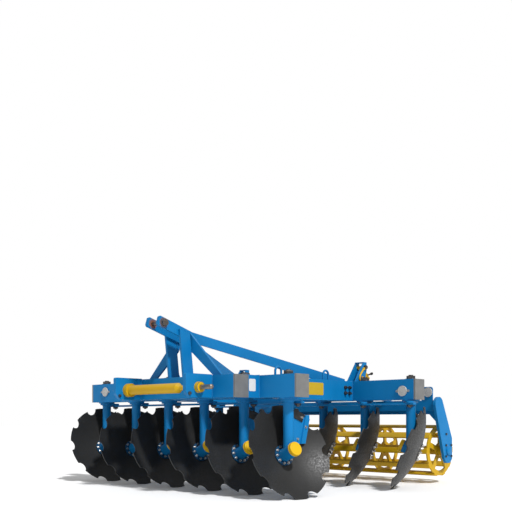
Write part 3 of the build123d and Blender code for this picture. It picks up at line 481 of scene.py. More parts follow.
def blackened_disc_steel(name, colour, worn):
    """Disc steel in satin black: faint clouds, mottled sheen, lighter mottled blotches painted as
    highlight, thin paint on some edges.
    """
    n = Nodes(name, colour)
    cloud = n.ramp(n.noise(5.0, 6.0, 0.62, 0.6), 0.32, 0.7)
    tone = n.mix(cloud, tint(colour, 0.86), tint(colour, 1.12))
    mottle = n.ramp(n.noise(95.0, 6.0, 0.72), 0.42, 0.62)
    # lighter mottled blotches toward the worn steel colour: a painted highlight that stands for the
    # mottled reflection on the dish
    painted_highlight_patch = n.math("MULTIPLY", n.ramp(n.noise(3.1, 4.0, 0.6, 0.5), 0.55, 0.72), mottle)
    tone = n.mix(n.math("MULTIPLY", painted_highlight_patch, 0.1), tone, worn)
    thin = n.ramp(n.noise(26.0, 5.0), 0.48, 0.66, 0.0, 0.45)
    edge = n.math("MULTIPLY", n.edges(0.002), thin)
    tone = n.mix(edge, tone, worn)
    sheen = n.ramp(mottle, 0.0, 1.0, 0.56, 0.33)
    grain = n.math("ADD", n.noise(240.0, 4.0, 0.6), n.math("MULTIPLY", mottle, 0.7))
    n.bump(grain, 0.2, 0.0006)
    rough = n.math("SUBTRACT", sheen, n.math("MULTIPLY", edge, 0.05))
    n.surface(colour=tone, roughness=rough, specular=0.36)


def bare_steel(name, colour, rust):
    """Turned steel pins and zinc bolts with a little rust in their hollows."""
    n = Nodes(name, colour)
    speck = n.ramp(n.noise(120.0, 6.0, 0.7), 0.55, 0.7, 0.0, rust)
    film = n.ramp(n.noise(22.0, 5.0, 0.6), 0.45, 0.75, 0.0, rust * 0.8)
    tone = n.mix(speck, n.mix(film, colour, RUST_FILM), RUST_SPECK)
    rusted = n.math("ADD", speck, film)
    n.bump(n.noise(380.0, 3.0), 0.16, 0.0004)
    n.surface(colour=tone, roughness=n.ramp(rusted, 0.0, 1.0, 0.32, 0.8),
              metal=n.ramp(rusted, 0.0, 1.0, 0.92, 0.12))


def cast_plate_grey(name, colour):
    """Grey plates with a brushed, slightly blotched face."""
    n = Nodes(name, colour)
    blot = n.ramp(n.noise(18.0, 5.0, 0.6), 0.3, 0.7)
    tone = n.mix(blot, tint(colour, 0.86), tint(colour, 1.1))
    tone = n.mix(n.math("MULTIPLY", n.edges(0.002), 0.5), tone, tint(colour, 1.6))
    n.bump(n.noise(260.0, 4.0), 0.2, 0.0005)
    n.surface(colour=tone, roughness=n.ramp(blot, 0.0, 1.0, 0.4, 0.52), metal=0.35)


def reflector_white(name):
    """Moulded clear-white reflector with a fine pattern of cells."""
    n = Nodes(name, (0.8, 0.8, 0.8))
    cells = n.add("ShaderNodeTexVoronoi", feature="DISTANCE_TO_EDGE")
    n.feed(cells, {"Vector": n.coordinates, "Scale": 420.0})
    lines = n.ramp(cells.outputs["Distance"], 0.0, 0.08)
    tone = n.mix(lines, (0.3, 0.3, 0.295), (0.47, 0.465, 0.45))
    n.bump(cells.outputs["Distance"], 0.4, 0.0005)
    n.surface(colour=tone, roughness=0.32, specular=0.4)


def film_sign(name, colour):
    """Adhesive film of a blank sign, with faint waves and dust."""
    n = Nodes(name, colour)
    dust = n.ramp(n.noise(30.0, 4.0), 0.35, 0.8, 0.0, 0.35)
    tone = n.mix(dust, colour, tint(colour, 0.82))
    n.bump(n.noise(70.0, 2.0), 0.12, 0.0004)
    n.surface(colour=tone, roughness=n.ramp(n.noise(25.0), 0.3, 0.7, 0.3, 0.42), coat=0.15)


def studio_floor(name, colour):
    """Pale seamless floor."""
    n = Nodes(name, colour)
    tone = n.mix(n.ramp(n.noise(1.2, 3.0), 0.3, 0.7), tint(colour, 0.99), colour)
    n.surface(colour=tone, roughness=0.75, specular=0.15)


class HarrowPaint(bpy.types.PropertyGroup):
    """Colours and wear of the finishes."""

    frame_blue: bpy.props.FloatVectorProperty(
        name="Frame paint", description="Colour of the frame's enamel",
        default=(0.0012, 0.17, 0.43), **COLOUR)
    # the yellow of the roller and hitch tube: darker than the paint's own yellow on the caps, as
    # painted shade
    roller_yellow: bpy.props.FloatVectorProperty(
        name="Yellow paint", description="Colour of the roller, caps and hitch tube",
        default=(0.54, 0.325, 0.006), **COLOUR)
    plate_grey: bpy.props.FloatVectorProperty(
        name="End plates", description="Colour of the beams' end plates",
        default=(0.2, 0.2, 0.196), **COLOUR)
    disc_black: bpy.props.FloatVectorProperty(
        name="Discs", description="Colour of the discs' black paint",
        default=(0.016, 0.016, 0.0158), **COLOUR)
    disc_worn: bpy.props.FloatVectorProperty(
        name="Worn steel", description="Colour where the discs' paint is thin",
        default=(0.19, 0.19, 0.185), **COLOUR)
    pin_steel: bpy.props.FloatVectorProperty(
        name="Pins and bolts", description="Colour of bare steel",
        default=(0.44, 0.43, 0.41), **COLOUR)
    edge_wear: bpy.props.FloatProperty(
        name="Edge wear", description="How much primer shows on the paint's edges",
        subtype="FACTOR", min=0.0, max=1.0, default=0.35)


class HarrowSizes(bpy.types.PropertyGroup):
    """Sizes of the small fittings."""

    cap: bpy.props.FloatProperty(
        name="Hub cap", description="Diameter of the yellow cap on a hub", unit="LENGTH",
        default=0.0808)
    flange: bpy.props.FloatProperty(
        name="Hub flange", description="Diameter of the flange that carries a disc",
        unit="LENGTH", default=0.1228)
    disc_bolt: bpy.props.FloatProperty(
        name="Disc bolts", description="Width across the flats of the bolts that hold a disc",
        unit="LENGTH", default=0.013)
    disc_bolt_circle: bpy.props.FloatProperty(
        name="Disc bolt circle", description="Radius of the circle of disc bolts", unit="LENGTH",
        default=0.05)
    disc_bolt_count: bpy.props.IntProperty(
        name="Disc bolt count", description="How many bolts hold a disc", min=3, max=12,
        default=10)
    post_nut: bpy.props.FloatProperty(
        name="Post nut", description="Width across the flats of the nut on top of a post",
        unit="LENGTH", default=0.0478)
    link_nut: bpy.props.FloatProperty(
        name="Link nut", description="Width across the flats of the nut below a tie bar",
        unit="LENGTH", default=0.0314)
    reflector: bpy.props.FloatProperty(
        name="Reflector", description="Diameter of a round reflector", unit="LENGTH",
        default=0.066)
    roller_bar: bpy.props.FloatProperty(
        name="Roller bar", description="Width of the roller's flat bars", unit="LENGTH",
        default=0.04)
    thread_pitch: bpy.props.FloatProperty(
        name="Thread pitch", description="Distance between the depth screws' threads",
        unit="LENGTH", default=0.0035)
    weld: bpy.props.FloatProperty(
        name="Weld bead", description="Half width of the weld beads", unit="LENGTH",
        default=0.005)


class HarrowStage(bpy.types.PropertyGroup):
    """Camera and light."""

    lens: bpy.props.FloatProperty(
        name="Lens", description="Focal length", unit="CAMERA", default=50.9625)
    turn: bpy.props.FloatProperty(
        name="Camera turn", description="Turn of the level camera about the upright axis",
        subtype="ANGLE", default=radians(43.3))
    rise: bpy.props.FloatProperty(
        name="Lens rise", description="Upward shift of the level camera's view", default=0.3197)
    camera: bpy.props.FloatVectorProperty(
        name="Camera place",
        description="Camera position from the hitch's centre, the front posts and the ground",
        subtype="TRANSLATION", size=3, default=(3.373, -3.109, 0.439))
    key: bpy.props.FloatProperty(
        name="Key light", description="Strength of the large side light", default=3.2)
    key_from: bpy.props.FloatVectorProperty(
        name="Key light from", description="Direction that the side light comes from",
        subtype="XYZ", size=3, default=(6.6, -1.7, 7.3))
    softness: bpy.props.FloatProperty(
        name="Softness", description="Angle that the side light fills in the sky",
        subtype="ANGLE", default=radians(5.0))
    fill: bpy.props.FloatProperty(
        name="Surroundings", description="Brightness of the white surroundings", default=0.48)
    floor: bpy.props.FloatVectorProperty(
        name="Floor", description="Colour of the floor", default=(0.96, 0.96, 0.96), **COLOUR)


class HARROW_OT_paint(bpy.types.Operator):
    """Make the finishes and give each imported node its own"""

    bl_idname = "harrow.paint"
    bl_label = "Paint the machine"

    def execute(self, context):
        paint = context.scene.harrow_paint
        blue, yellow = tuple(paint.frame_blue), tuple(paint.roller_yellow)
        steel, wear = tuple(paint.pin_steel), paint.edge_wear
        sprayed_paint("frame_blue_enamel", blue, wear)
        sprayed_paint("fork_blue_enamel", blue, wear, 0.18, at(0, *TOP_PIN))
        # hub flanges: the frame blue at a third of its brightness, as painted shade
        sprayed_paint("flange_blue_painted_shade", tint(blue, 0.32), wear * 0.5)
        # roller, hitch tube and their fittings: the yellow darkened as painted shade
        sprayed_paint("yellow_enamel_painted_shade", yellow, wear * 1.4, 0.3)
        # caps, collars and hooks: the yellow a quarter brighter, which is the paint's own colour
        sprayed_paint("cap_yellow_enamel", tint(yellow, 1.25), wear, 0.06)
        blackened_disc_steel("disc_black_steel", tuple(paint.disc_black), tuple(paint.disc_worn))
        bare_steel("pin_bare_steel", steel, 0.45)
        bare_steel("bolt_zinc", tint(steel, 1.15), 0.18)
        bare_steel("nut_dark_steel", (0.1, 0.1, 0.1), 0.3)
        bare_steel("pin_rusty_steel", (0.15, 0.14, 0.13), 0.95)
        bare_steel("pin_worn_steel", (0.27, 0.25, 0.22), 0.75)
        cast_plate_grey("end_plate_grey", tuple(paint.plate_grey))
        reflector_white("reflector_white")
        film_sign("sign_yellow_film", (0.5, 0.335, 0.006))
        film_sign("sign_white_film", (0.66, 0.66, 0.65))
        for name, node in frame["nodes"].items():
            finish = next(each for start, each in NODE_MATERIALS if name.startswith(start))
            node.data.materials.clear()
            node.data.materials.append(bpy.data.materials[finish])
        return {"FINISHED"}


class HARROW_OT_hub_caps(bpy.types.Operator):
    """Add the stepped yellow cap over each hub"""

    bl_idname = "harrow.hub_caps"
    bl_label = "Hub caps"

    def execute(self, context):
        radius = context.scene.harrow_sizes.cap / 2
        # radius, height over the hub's end
        profile = (
            (0, 0), (radius + 0.0012, 0), (radius + 0.0012, 0.0042), (radius, 0.0054),
            (radius, 0.018), (radius - 0.0014, 0.0208), (radius - 0.0042, 0.0224),
            (radius - 0.0105, 0.0225), (radius - 0.0112, 0.0236), (radius - 0.0125, 0.024),
            (0, 0.0242))
        for row, unit in POSTS:
            turned_piece(f"hub_cap_{row}_{unit}", lift(hub_place(row, unit), HUB_END), profile, 48,
                         "cap_yellow_enamel", f"{row}_post_{unit}", sharp=25.0)
        return {"FINISHED"}


class HARROW_OT_hub_flanges(bpy.types.Operator):
    """Add the hub flange, its blue darkened as painted shade, with its ring of bolts on each disc,
    and the nuts behind
    """

    bl_idname = "harrow.hub_flanges"
    bl_label = "Hub flanges and disc bolts"

    def execute(self, context):
        sizes = context.scene.harrow_sizes
        radius = sizes.flange / 2
        # radius, height over the dish's middle
        profile = ((0, 0), (radius, 0), (radius, 0.0115), (radius - 0.001, 0.0124),
                   (0.0395, 0.0124), (0, 0.0124))
        for row, unit in POSTS:
            place = hub_place(row, unit)
            disc = f"{row}_disc_{unit}"
            turned_piece(f"hub_flange_{row}_{unit}", lift(place, DISH_MIDDLE), profile, 56,
                         "flange_blue_painted_shade", disc, sharp=25.0)
            bm = bmesh.new()
            for i in range(sizes.disc_bolt_count):
                turn = turned(2 * pi * i / sizes.disc_bolt_count, "Z")
                seat = place @ turn @ shift(sizes.disc_bolt_circle, 0, 0)
                add_bolt(bm, lift(seat, DISC_BOLT_SEAT), sizes.disc_bolt)
                back = lift(seat, DISC_BOLT_BACK) @ turned(pi, "X")
                add_bolt(bm, back, sizes.disc_bolt, SHORT_TAIL)
            finish_piece(f"disc_bolts_{row}_{unit}", bm, "bolt_zinc", disc)
        return {"FINISHED"}


class HARROW_OT_post_nuts(bpy.types.Operator):
    """Add the grey nuts on top of the posts and the nuts below the tie bars"""

    bl_idname = "harrow.post_nuts"
    bl_label = "Post nuts and link nuts"

    def execute(self, context):
        sizes = context.scene.harrow_sizes
        # height, radius, length, sides and bevel of the washer, the nut and the thread's end
        post_nut = ((0, 0.0356, 0.0033, 40, 0.0004),
                    (0.003, hex_radius(sizes.post_nut), 0.0187, 6, 0.0015),
                    (0.0215, 0.015, 0.006, 24, 0.0012))
        link_nut = ((0, 0.0195, 0.0016, 28, 0.0003),
                    (0.0014, hex_radius(sizes.link_nut), 0.011, 6, 0.0012),
                    (0.0122, 0.0088, 0.006, 20, 0.001))
        link_seat = -0.0003
        for row, unit in POSTS:
            base = post_base(row, unit)
            eye = base + Vector(JOINTS[f"{row}_tie_bar_pin"]["pos_m"]) - post_base(row, 1)
            turn = turned(nut_turn(row, unit), "Z")
            bm = bmesh.new()
            add_stack(bm, lift(shift(*base), POST_TOP) @ turn, post_nut)
            add_stack(bm, lift(shift(*eye), link_seat) @ turn @ turned(pi, "Y"), link_nut)
            finish_piece(f"post_nuts_{row}_{unit}", bm, "nut_dark_steel", f"{row}_post_{unit}")
        return {"FINISHED"}


class HARROW_OT_scraper_fittings(bpy.types.Operator):
    """Add a dark plate over the top of each scraper's arm, its bolts and its welds to the post"""

    bl_idname = "harrow.scraper_fittings"
    bl_label = "Scraper brackets and bolts"

    def execute(self, context):
        radius = context.scene.harrow_sizes.weld * 0.8
        dark_plate_face, dark_plate_thickness, arm_back = 0.0041, 0.006, -0.004
        # out from the post, height over the ground: the corners of the dark plate
        corners = ((0.03, 0.455), (0.128, 0.424), (0.149, 0.47), (0.03, 0.5))
        # height, out from the post, stand-off across the scraper
        bolts = ((0.396, 0.158, 0.012), (0.328, 0.085, 0.004), (0.452, 0.12, 0.0101))
        # the welds along the arm's two sides, and the ring under the beam
        seam_x, seam_out, seam_ends = 0.0045, 0.0296, (0.305, 0.448)
        ring_drop, ring_radius = 0.0212, 0.0305
        for row, unit in POSTS:
            place = scraper_place(row, unit)
            post = f"{row}_post_{unit}"
            bm = bmesh.new()
            # a dark plate in disc steel over the top of the arm
            add_slab(bm, [(dark_plate_face, out, height) for out, height in corners],
                     (dark_plate_thickness, 0, 0))
            bevel_edges(bm, list(bm.edges), 0.0008)
            bmesh.ops.transform(bm, matrix=place, verts=bm.verts)
            finish_piece(f"scraper_dark_plate_{row}_{unit}", bm, "disc_black_steel", post)
            bm = bmesh.new()
            for height, out, face in bolts:
                near = place @ shift(face, out, height) @ turned(pi / 2, "Y")
                far = place @ shift(arm_back, out, height) @ turned(-pi / 2, "Y")
                add_bolt(bm, near, FITTING_BOLT)
                add_bolt(bm, far, FITTING_BOLT, SHORT_TAIL)
            finish_piece(f"scraper_bolts_{row}_{unit}", bm, "bolt_zinc", post)
            bm = bmesh.new()
            out = place.to_3x3() @ Vector((0, 1, 0))
            for side in SIDES:
                low, high = (place @ Vector((side * seam_x, seam_out, height))
                             for height in seam_ends)
                add_bead(bm, low, high, radius, place.to_3x3() @ Vector((side, 0, 0)), out)
            ring = lift(shift(*post_base(row, unit)), -ring_drop)
            add_ring(bm, ring, ring_radius, radius, 40, 8)
            finish_piece(f"post_welds_{row}_{unit}", bm, "frame_blue_enamel", post, sharp=60.0)
        return {"FINISHED"}


class HARROW_OT_reflectors(bpy.types.Operator):
    """Add the round reflectors with their straps and screws"""

    bl_idname = "harrow.reflectors"
    bl_label = "Reflectors"

    def execute(self, context):
        radius = context.scene.harrow_sizes.reflector / 2
        # radius, height over the strap
        profile = (
            (0, 0), (radius, 0), (radius, 0.0045), (radius - 0.0012, 0.0062),
            (radius - 0.004, 0.0064), (radius - 0.0048, 0.0056), (radius * 0.5, 0.0066),
            (0, 0.007))
        # the strap's size, the radius of its corners and how far out its screws sit
        width, height, thickness, corner, screw_out = 0.1, 0.016, 0.0016, 0.007, 0.0415
        # name, body, x, y, z of the surface behind
        places = (
            ("beam_front_right", "frame", -992.0, -55.3, 638.0),
            ("beam_rear_left", "frame", 909.0, 854.7, 620.0),
            ("plate_left", "roller_frame", REFLECTOR_PLATES["left"], 1288.7, 626.0),
            ("plate_right", "roller_frame", REFLECTOR_PLATES["right"], 1288.7, 626.0))
        for name, body, x, y, z in places:
            place = axis_matrix(at(x, y, z), FRONT)
            turned_piece(f"reflector_{name}", lift(place, thickness), profile, 48,
                         "reflector_white", body, sharp=30.0)
            if body == "frame":
                bm = bmesh.new()
                strap = place @ turned(strap_turn(place), "Z")
                add_plate(bm, strap, width, height, thickness, corner)
                for side in SIDES:
                    add_bolt(bm, strap @ shift(side * screw_out, 0, thickness), STRAP_BOLT)
                finish_piece(f"reflector_strap_{name}", bm, "bolt_zinc", body)
        return {"FINISHED"}


class HARROW_OT_signs(bpy.types.Operator):
    """Add the blank signs on the side rails"""

    bl_idname = "harrow.signs"
    bl_label = "Blank signs"

    def execute(self, context):
        # name, middle along the machine, middle's height, width, height of the sign
        signs = (("yellow", 405.0, 634.0, 0.272, 0.078), ("white", -115.0, 637.0, 0.054, 0.07))
        film, corner, stand_off = 0.0012, 0.008, 0.1
        for name, y, z, width, height in signs:
            for side, side_name in zip(SIDES, ("right", "left")):
                face = shift(*at(side * (RAIL_OUT + stand_off), y, z)) @ facing_side(side)
                bm = bmesh.new()
                add_plate(bm, face, width, height, film, corner)
                finish_piece(f"blank_sign_{name}_{side_name}", bm, f"sign_{name}_film", "frame")
        return {"FINISHED"}


class HARROW_OT_frame_bolts(bpy.types.Operator):
    """Add the bolts on the side rails and the hitch cheeks"""

    bl_idname = "harrow.frame_bolts"
    bl_label = "Frame bolts"

    def execute(self, context):
        splice_bolts = [(y, z) for y in (772.0, 818.0) for z in (651.0, 614.0)]
        cheek_bolt = (-428.0, 587.0)
        bm = bmesh.new()
        for side in SIDES:
            for place in splice_bolts:
                add_bolt(bm, across(side * RAIL_OUT, place, side), SPLICE_BOLT, LONG_TAIL)
            for x, out in ((CHEEK_OUT, side), (CHEEK_IN, -side)):
                add_bolt(bm, across(side * x, cheek_bolt, out), CHEEK_BOLT, SHORT_TAIL)
        finish_piece("frame_bolts", bm, "nut_dark_steel", "frame")
        return {"FINISHED"}


class HARROW_OT_hitch_fittings(bpy.types.Operator):
    """Add the yellow collars on the lower pins and the head, washer and ring of the top pin"""

    bl_idname = "harrow.hitch_fittings"
    bl_label = "Hitch fittings"

    def execute(self, context):
        # radius, height over the cheek
        collar = ((0, 0), (0.0314, 0), (0.0314, 0.0205), (0.0296, 0.0236), (0.0262, 0.0248),
                  (0.019, 0.0248), (0.0172, 0.0243), (0, 0.0243))
        bm = bmesh.new()
        for side in SIDES:
            add_lathe(bm, across(side * (CHEEK_OUT - 0.1), LOWER_PIN, side), collar, 48)
        finish_piece("lower_pin_collars", bm, "cap_yellow_enamel", "frame", sharp=25.0)
        # radius, height over the washer
        head = ((0, 0), (0.0206, 0), (0.0206, 0.017), (0.018, 0.0195), (0, 0.0197))
        # radius, length, sides, bevel
        near_washer, far_washer = (0.0245, 0.003, 32, 0.0008), (0.0215, 0.003, 32, 0.0008)
        cotter = (0.004, 0.036, 12, 0.0006)
        fork_out, head_seat, cotter_x, cotter_drop = 58.0, 0.0028, -72.0, 18.0
        ring_seat, ring_lean, ring_radius, ring_rod = 0.034, radians(102), 0.017, 0.002
        bm = bmesh.new()
        near = across(fork_out, TOP_PIN, 1)
        add_drum(bm, near, *near_washer)
        add_lathe(bm, lift(near, head_seat), head, 36)
        add_drum(bm, across(-fork_out, TOP_PIN, -1), *far_washer)
        foot = shift(*at(cotter_x, TOP_PIN[0], TOP_PIN[1] - cotter_drop))
        add_drum(bm, foot, *cotter)
        ring = lift(foot, ring_seat) @ turned(ring_lean, "Y") @ shift(ring_radius, 0, 0)
        add_ring(bm, ring, ring_radius, ring_rod, 32, 8)
        finish_piece("top_pin_locks", bm, "pin_rusty_steel", "frame")
        return {"FINISHED"}


class HARROW_OT_screw_towers(bpy.types.Operator):
    """Replace the plain screw towers with slimmer ones of two waisted plates each"""

    bl_idname = "harrow.screw_towers"
    bl_label = "Screw towers"

    def execute(self, context):
        # along the machine, height
        outline = ((965, 590), (1044, 590), (1044, 672), (1024, 690), (1000, 706), (995, 740),
                   (1008, 772), (1008, 823), (970, 823), (876, 695), (965, 695))
        # half width, two corners and edge rounding of the plates on top and between
        blocks = ((TOWER_OUT, (970, 823), (1008, 830.5), 0.0012),
                  (TOWER_IN, (965.5, 690), (977, 772), 0.001))
        bm = bmesh.new()
        for x in TOWERS.values():
            for side in SIDES:
                corners = [at(x + side * TOWER_IN, y, z) for y, z in outline]
                outer = add_slab(bm, corners, (side * (TOWER_OUT - TOWER_IN) * MM, 0, 0))
                rims = [e for e in edges_of(outer) if all(v in outer for v in e.verts)]
                bevel_edges(bm, rims, 0.001)
            for half, low, high, rounding in blocks:
                add_block(bm, at(x - half, *low), at(x + half, *high), rounding)
        towers = finish_piece("slim_screw_towers", bm, "frame_blue_enamel", "frame")
        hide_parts("screw_towers")
        return {"FINISHED"}


class HARROW_OT_depth_screws(bpy.types.Operator):
    """Replace the depth screws' plain rods with threaded ones, and add their fittings"""

    bl_idname = "harrow.depth_screws"
    bl_label = "Depth screws"

    def execute(self, context):
        rise = Vector((0, SCREW_FOOT[0] - SCREW_TOP[0], SCREW_FOOT[1] - SCREW_TOP[1]))
        end_gap = 0.042
        reach = rise.length * MM - end_gap
        for name, x in TOWERS.items():
            foot = axis_matrix(at(x, *SCREW_FOOT), -rise)
            self.add_screw(name, foot, reach, context.scene.harrow_sizes.thread_pitch)
            self.add_barrel_fittings(name, x, axis_matrix(at(x, *SCREW_TOP), rise))
            self.add_pivot_heads(name, x)
            self.add_hook(name, x)
        return {"FINISHED"}

    def add_screw(self, name, foot, reach, pitch):
        """The threaded rod with its eye, from the lower pin up into the barrel."""
        root, core, crest, shank = 0.0108, 0.0097, 0.0109, 0.017
        first, plain, end = 0.0215, 0.024, reach - 0.001
        # radius, part of a pitch
        ridge = ((core, 0), (core, 0.22), (crest, 0.48), (crest, 0.72))
        thread = [(0, shank), (root, shank)]
        for i in range(int((reach - plain) / pitch)):
            height = first + i * pitch
            thread += [(radius, height + pitch * part) for radius, part in ridge]
        thread += [(core, end), (0, end)]
        # radius, place across the eye: a closed ring round the lower pin
        eye = ((0.0122, -0.011), (0.0132, -0.0119), (0.0195, -0.0119), (0.0208, -0.0106),
               (0.0208, 0.0106), (0.0195, 0.0119), (0.0132, 0.0119), (0.0122, 0.011),
               (0.0122, -0.011))
        bm = bmesh.new()
        add_lathe(bm, foot, thread, 24)
        add_lathe(bm, foot @ turned(pi / 2, "Y"), eye, 40)
        screw = finish_piece(f"threaded_screw_{name}", bm, "pin_bare_steel",
                             f"depth_screw_{name}", sharp=40.0)
        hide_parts(f"depth_screw_{name}")

    def add_barrel_fittings(self, name, x, top):
        """The collars and sleeve round the barrel, its handle and the heads of its pivot."""
        barrel = f"depth_barrel_{name}"
        # start along the screw, length, inside radius, outside radius
        rings = ((0.073, 0.01, 0.019, 0.0222), (0.03, 0.0045, 0.019, 0.0202),
                 (0.0802, 0.031, 0.0122, 0.0192), (0.103, 0.006, 0.0191, 0.0212))
        rim = 0.001
        bm = bmesh.new()
        for start, width, hole, radius in rings:
            end = start + width
            profile = ((hole, start), (radius - rim, start), (radius, start + rim),
                       (radius, end - rim), (radius - rim, end), (hole, end), (hole, start))
            add_lathe(bm, top, profile, 40)
        finish_piece(f"barrel_collars_{name}", bm, "cap_yellow_enamel", barrel, sharp=30.0)
        # radius, height along the handle
        knob = ((0, 0), (0.006, 0), (0.0092, 0.005), (0.0092, 0.014), (0.006, 0.019),
                (0, 0.02))
        # height, radius, length, sides, bevel
        stem = (0.018, 0.005, 0.032, 16, 0.0008)
        grip_place, grip_aim, knob_seat = (0, 0, 0.078), (1, 0, 0.25), 0.044
        bm = bmesh.new()
        grip = axis_matrix(top @ Vector(grip_place), grip_aim)
        add_stack(bm, grip, (stem,))
        add_lathe(bm, lift(grip, knob_seat), knob, 24)
        for side in SIDES:
            add_bolt(bm, across(x + side * (TOWER_OUT + 0.2), SCREW_TOP, side), PIVOT_BOLT)
        finish_piece(f"barrel_handle_{name}", bm, "nut_dark_steel", barrel)

    def add_pivot_heads(self, name, x):
        """The heads of the lower screw pin and of the roller frame's pivot."""
        lug_out = 23.0
        # height, radius, length, sides, bevel
        head = ((0, 0.023, 0.004, 32, 0.0008), (0.004, hex_radius(0.034), 0.01, 6, 0.0015))
        bm = bmesh.new()
        for side in SIDES:
            add_bolt(bm, across(x + side * lug_out, SCREW_FOOT, side), PIVOT_BOLT)
            add_stack(bm, across(x + side * (TOWER_OUT + 0.3), FRAME_PIVOT, side), head)
        finish_piece(f"pivot_heads_{name}", bm, "nut_dark_steel", "roller_frame")

    def add_hook(self, name, x):
        """The hook that hangs on the tower's outer plate."""
        # along the machine, height
        route = ((966, 784), (958, 776), (946, 764), (932, 750), (922, 734), (918, 718),
                 (924, 705), (936, 701), (947, 707), (951, 719), (947, 731))
        stand_off, rod = 6.0, 0.006
        # radius, length, sides, bevel
        peg = (0.0085, 0.0125, 20, 0.0012)
        bm = bmesh.new()
        add_wire(bm, [at(x + TOWER_OUT + stand_off, y, z) for y, z in route], rod)
        add_drum(bm, across(x + TOWER_OUT, route[0], 1), *peg)
        finish_piece(f"tower_hook_{name}", bm, "cap_yellow_enamel", "frame")


class HARROW_OT_roller_bearings(bpy.types.Operator):
    """Add the roller's bearing housings, their bolts and the collars on its tube"""

    bl_idname = "harrow.roller_bearings"
    bl_label = "Roller bearings"

    def execute(self, context):
        # radius, height over the arm's outer face
        housing = ((0, 0.0106), (0.0182, 0.0106), (0.0182, 0.0002), (0.033, 0.0002),
                   (0.033, 0.004), (0.03, 0.0092), (0.0235, 0.0118), (0, 0.0122))
        # radius, height over the arm's inner face: a closed ring round the tube
        collar = ((0.0303, 0.0075), (0.0425, 0.0075), (0.044, 0.009), (0.044, 0.017),
                  (0.042, 0.019), (0.034, 0.0205), (0.0303, 0.0205), (0.0303, 0.0075))
        axle_y, axle_z = ROLLER_AXLE
        bolt_y, bolt_z, arm_bolt = 36.0, 38.0, (1416.0, 340.0)
        bolts = [(axle_y + y * bolt_y, axle_z + z * bolt_z) for y in SIDES for z in SIDES]
        bolts.append(arm_bolt)
        for name, (x, out) in ARM_OUTSIDES.items():
            turned_piece(f"bearing_housing_{name}", across(x, ROLLER_AXLE, out), housing, 40,
                         "frame_blue_enamel", "roller_frame")
            bm = bmesh.new()
            for seat in bolts:
                add_bolt(bm, across(x, seat, out), FITTING_BOLT)
            finish_piece(f"bearing_bolts_{name}", bm, "nut_dark_steel", "roller_frame")
            inside = across(x - out * ARM_THICKNESS, ROLLER_AXLE, -out)
            turned_piece(f"roller_collar_{name}", inside, collar, 40, "yellow_enamel_painted_shade",
                         "cage_roller")
        return {"FINISHED"}


class HARROW_OT_roller_bars(bpy.types.Operator):
    """Add the wider flat bars over the roller's own, with rounded edges"""

    bl_idname = "harrow.roller_bars"
    bl_label = "Roller bars"

    def execute(self, context):
        half_width = context.scene.harrow_sizes.roller_bar / 2
        half_length, inner, outer, rounding = 0.9003, 0.1676, 0.1803, 0.0016
        bm = bmesh.new()
        for i in range(ROLLER_BARS):
            turn = turned(2 * pi * i / ROLLER_BARS, "X")
            place = shift(*at(ROLLER_MIDDLE, *ROLLER_AXLE)) @ turn
            add_block(bm, Vector((-half_length, inner, -half_width)),
                      Vector((half_length, outer, half_width)), rounding, place)
        finish_piece("roller_bars", bm, "yellow_enamel_painted_shade", "cage_roller")
        return {"FINISHED"}


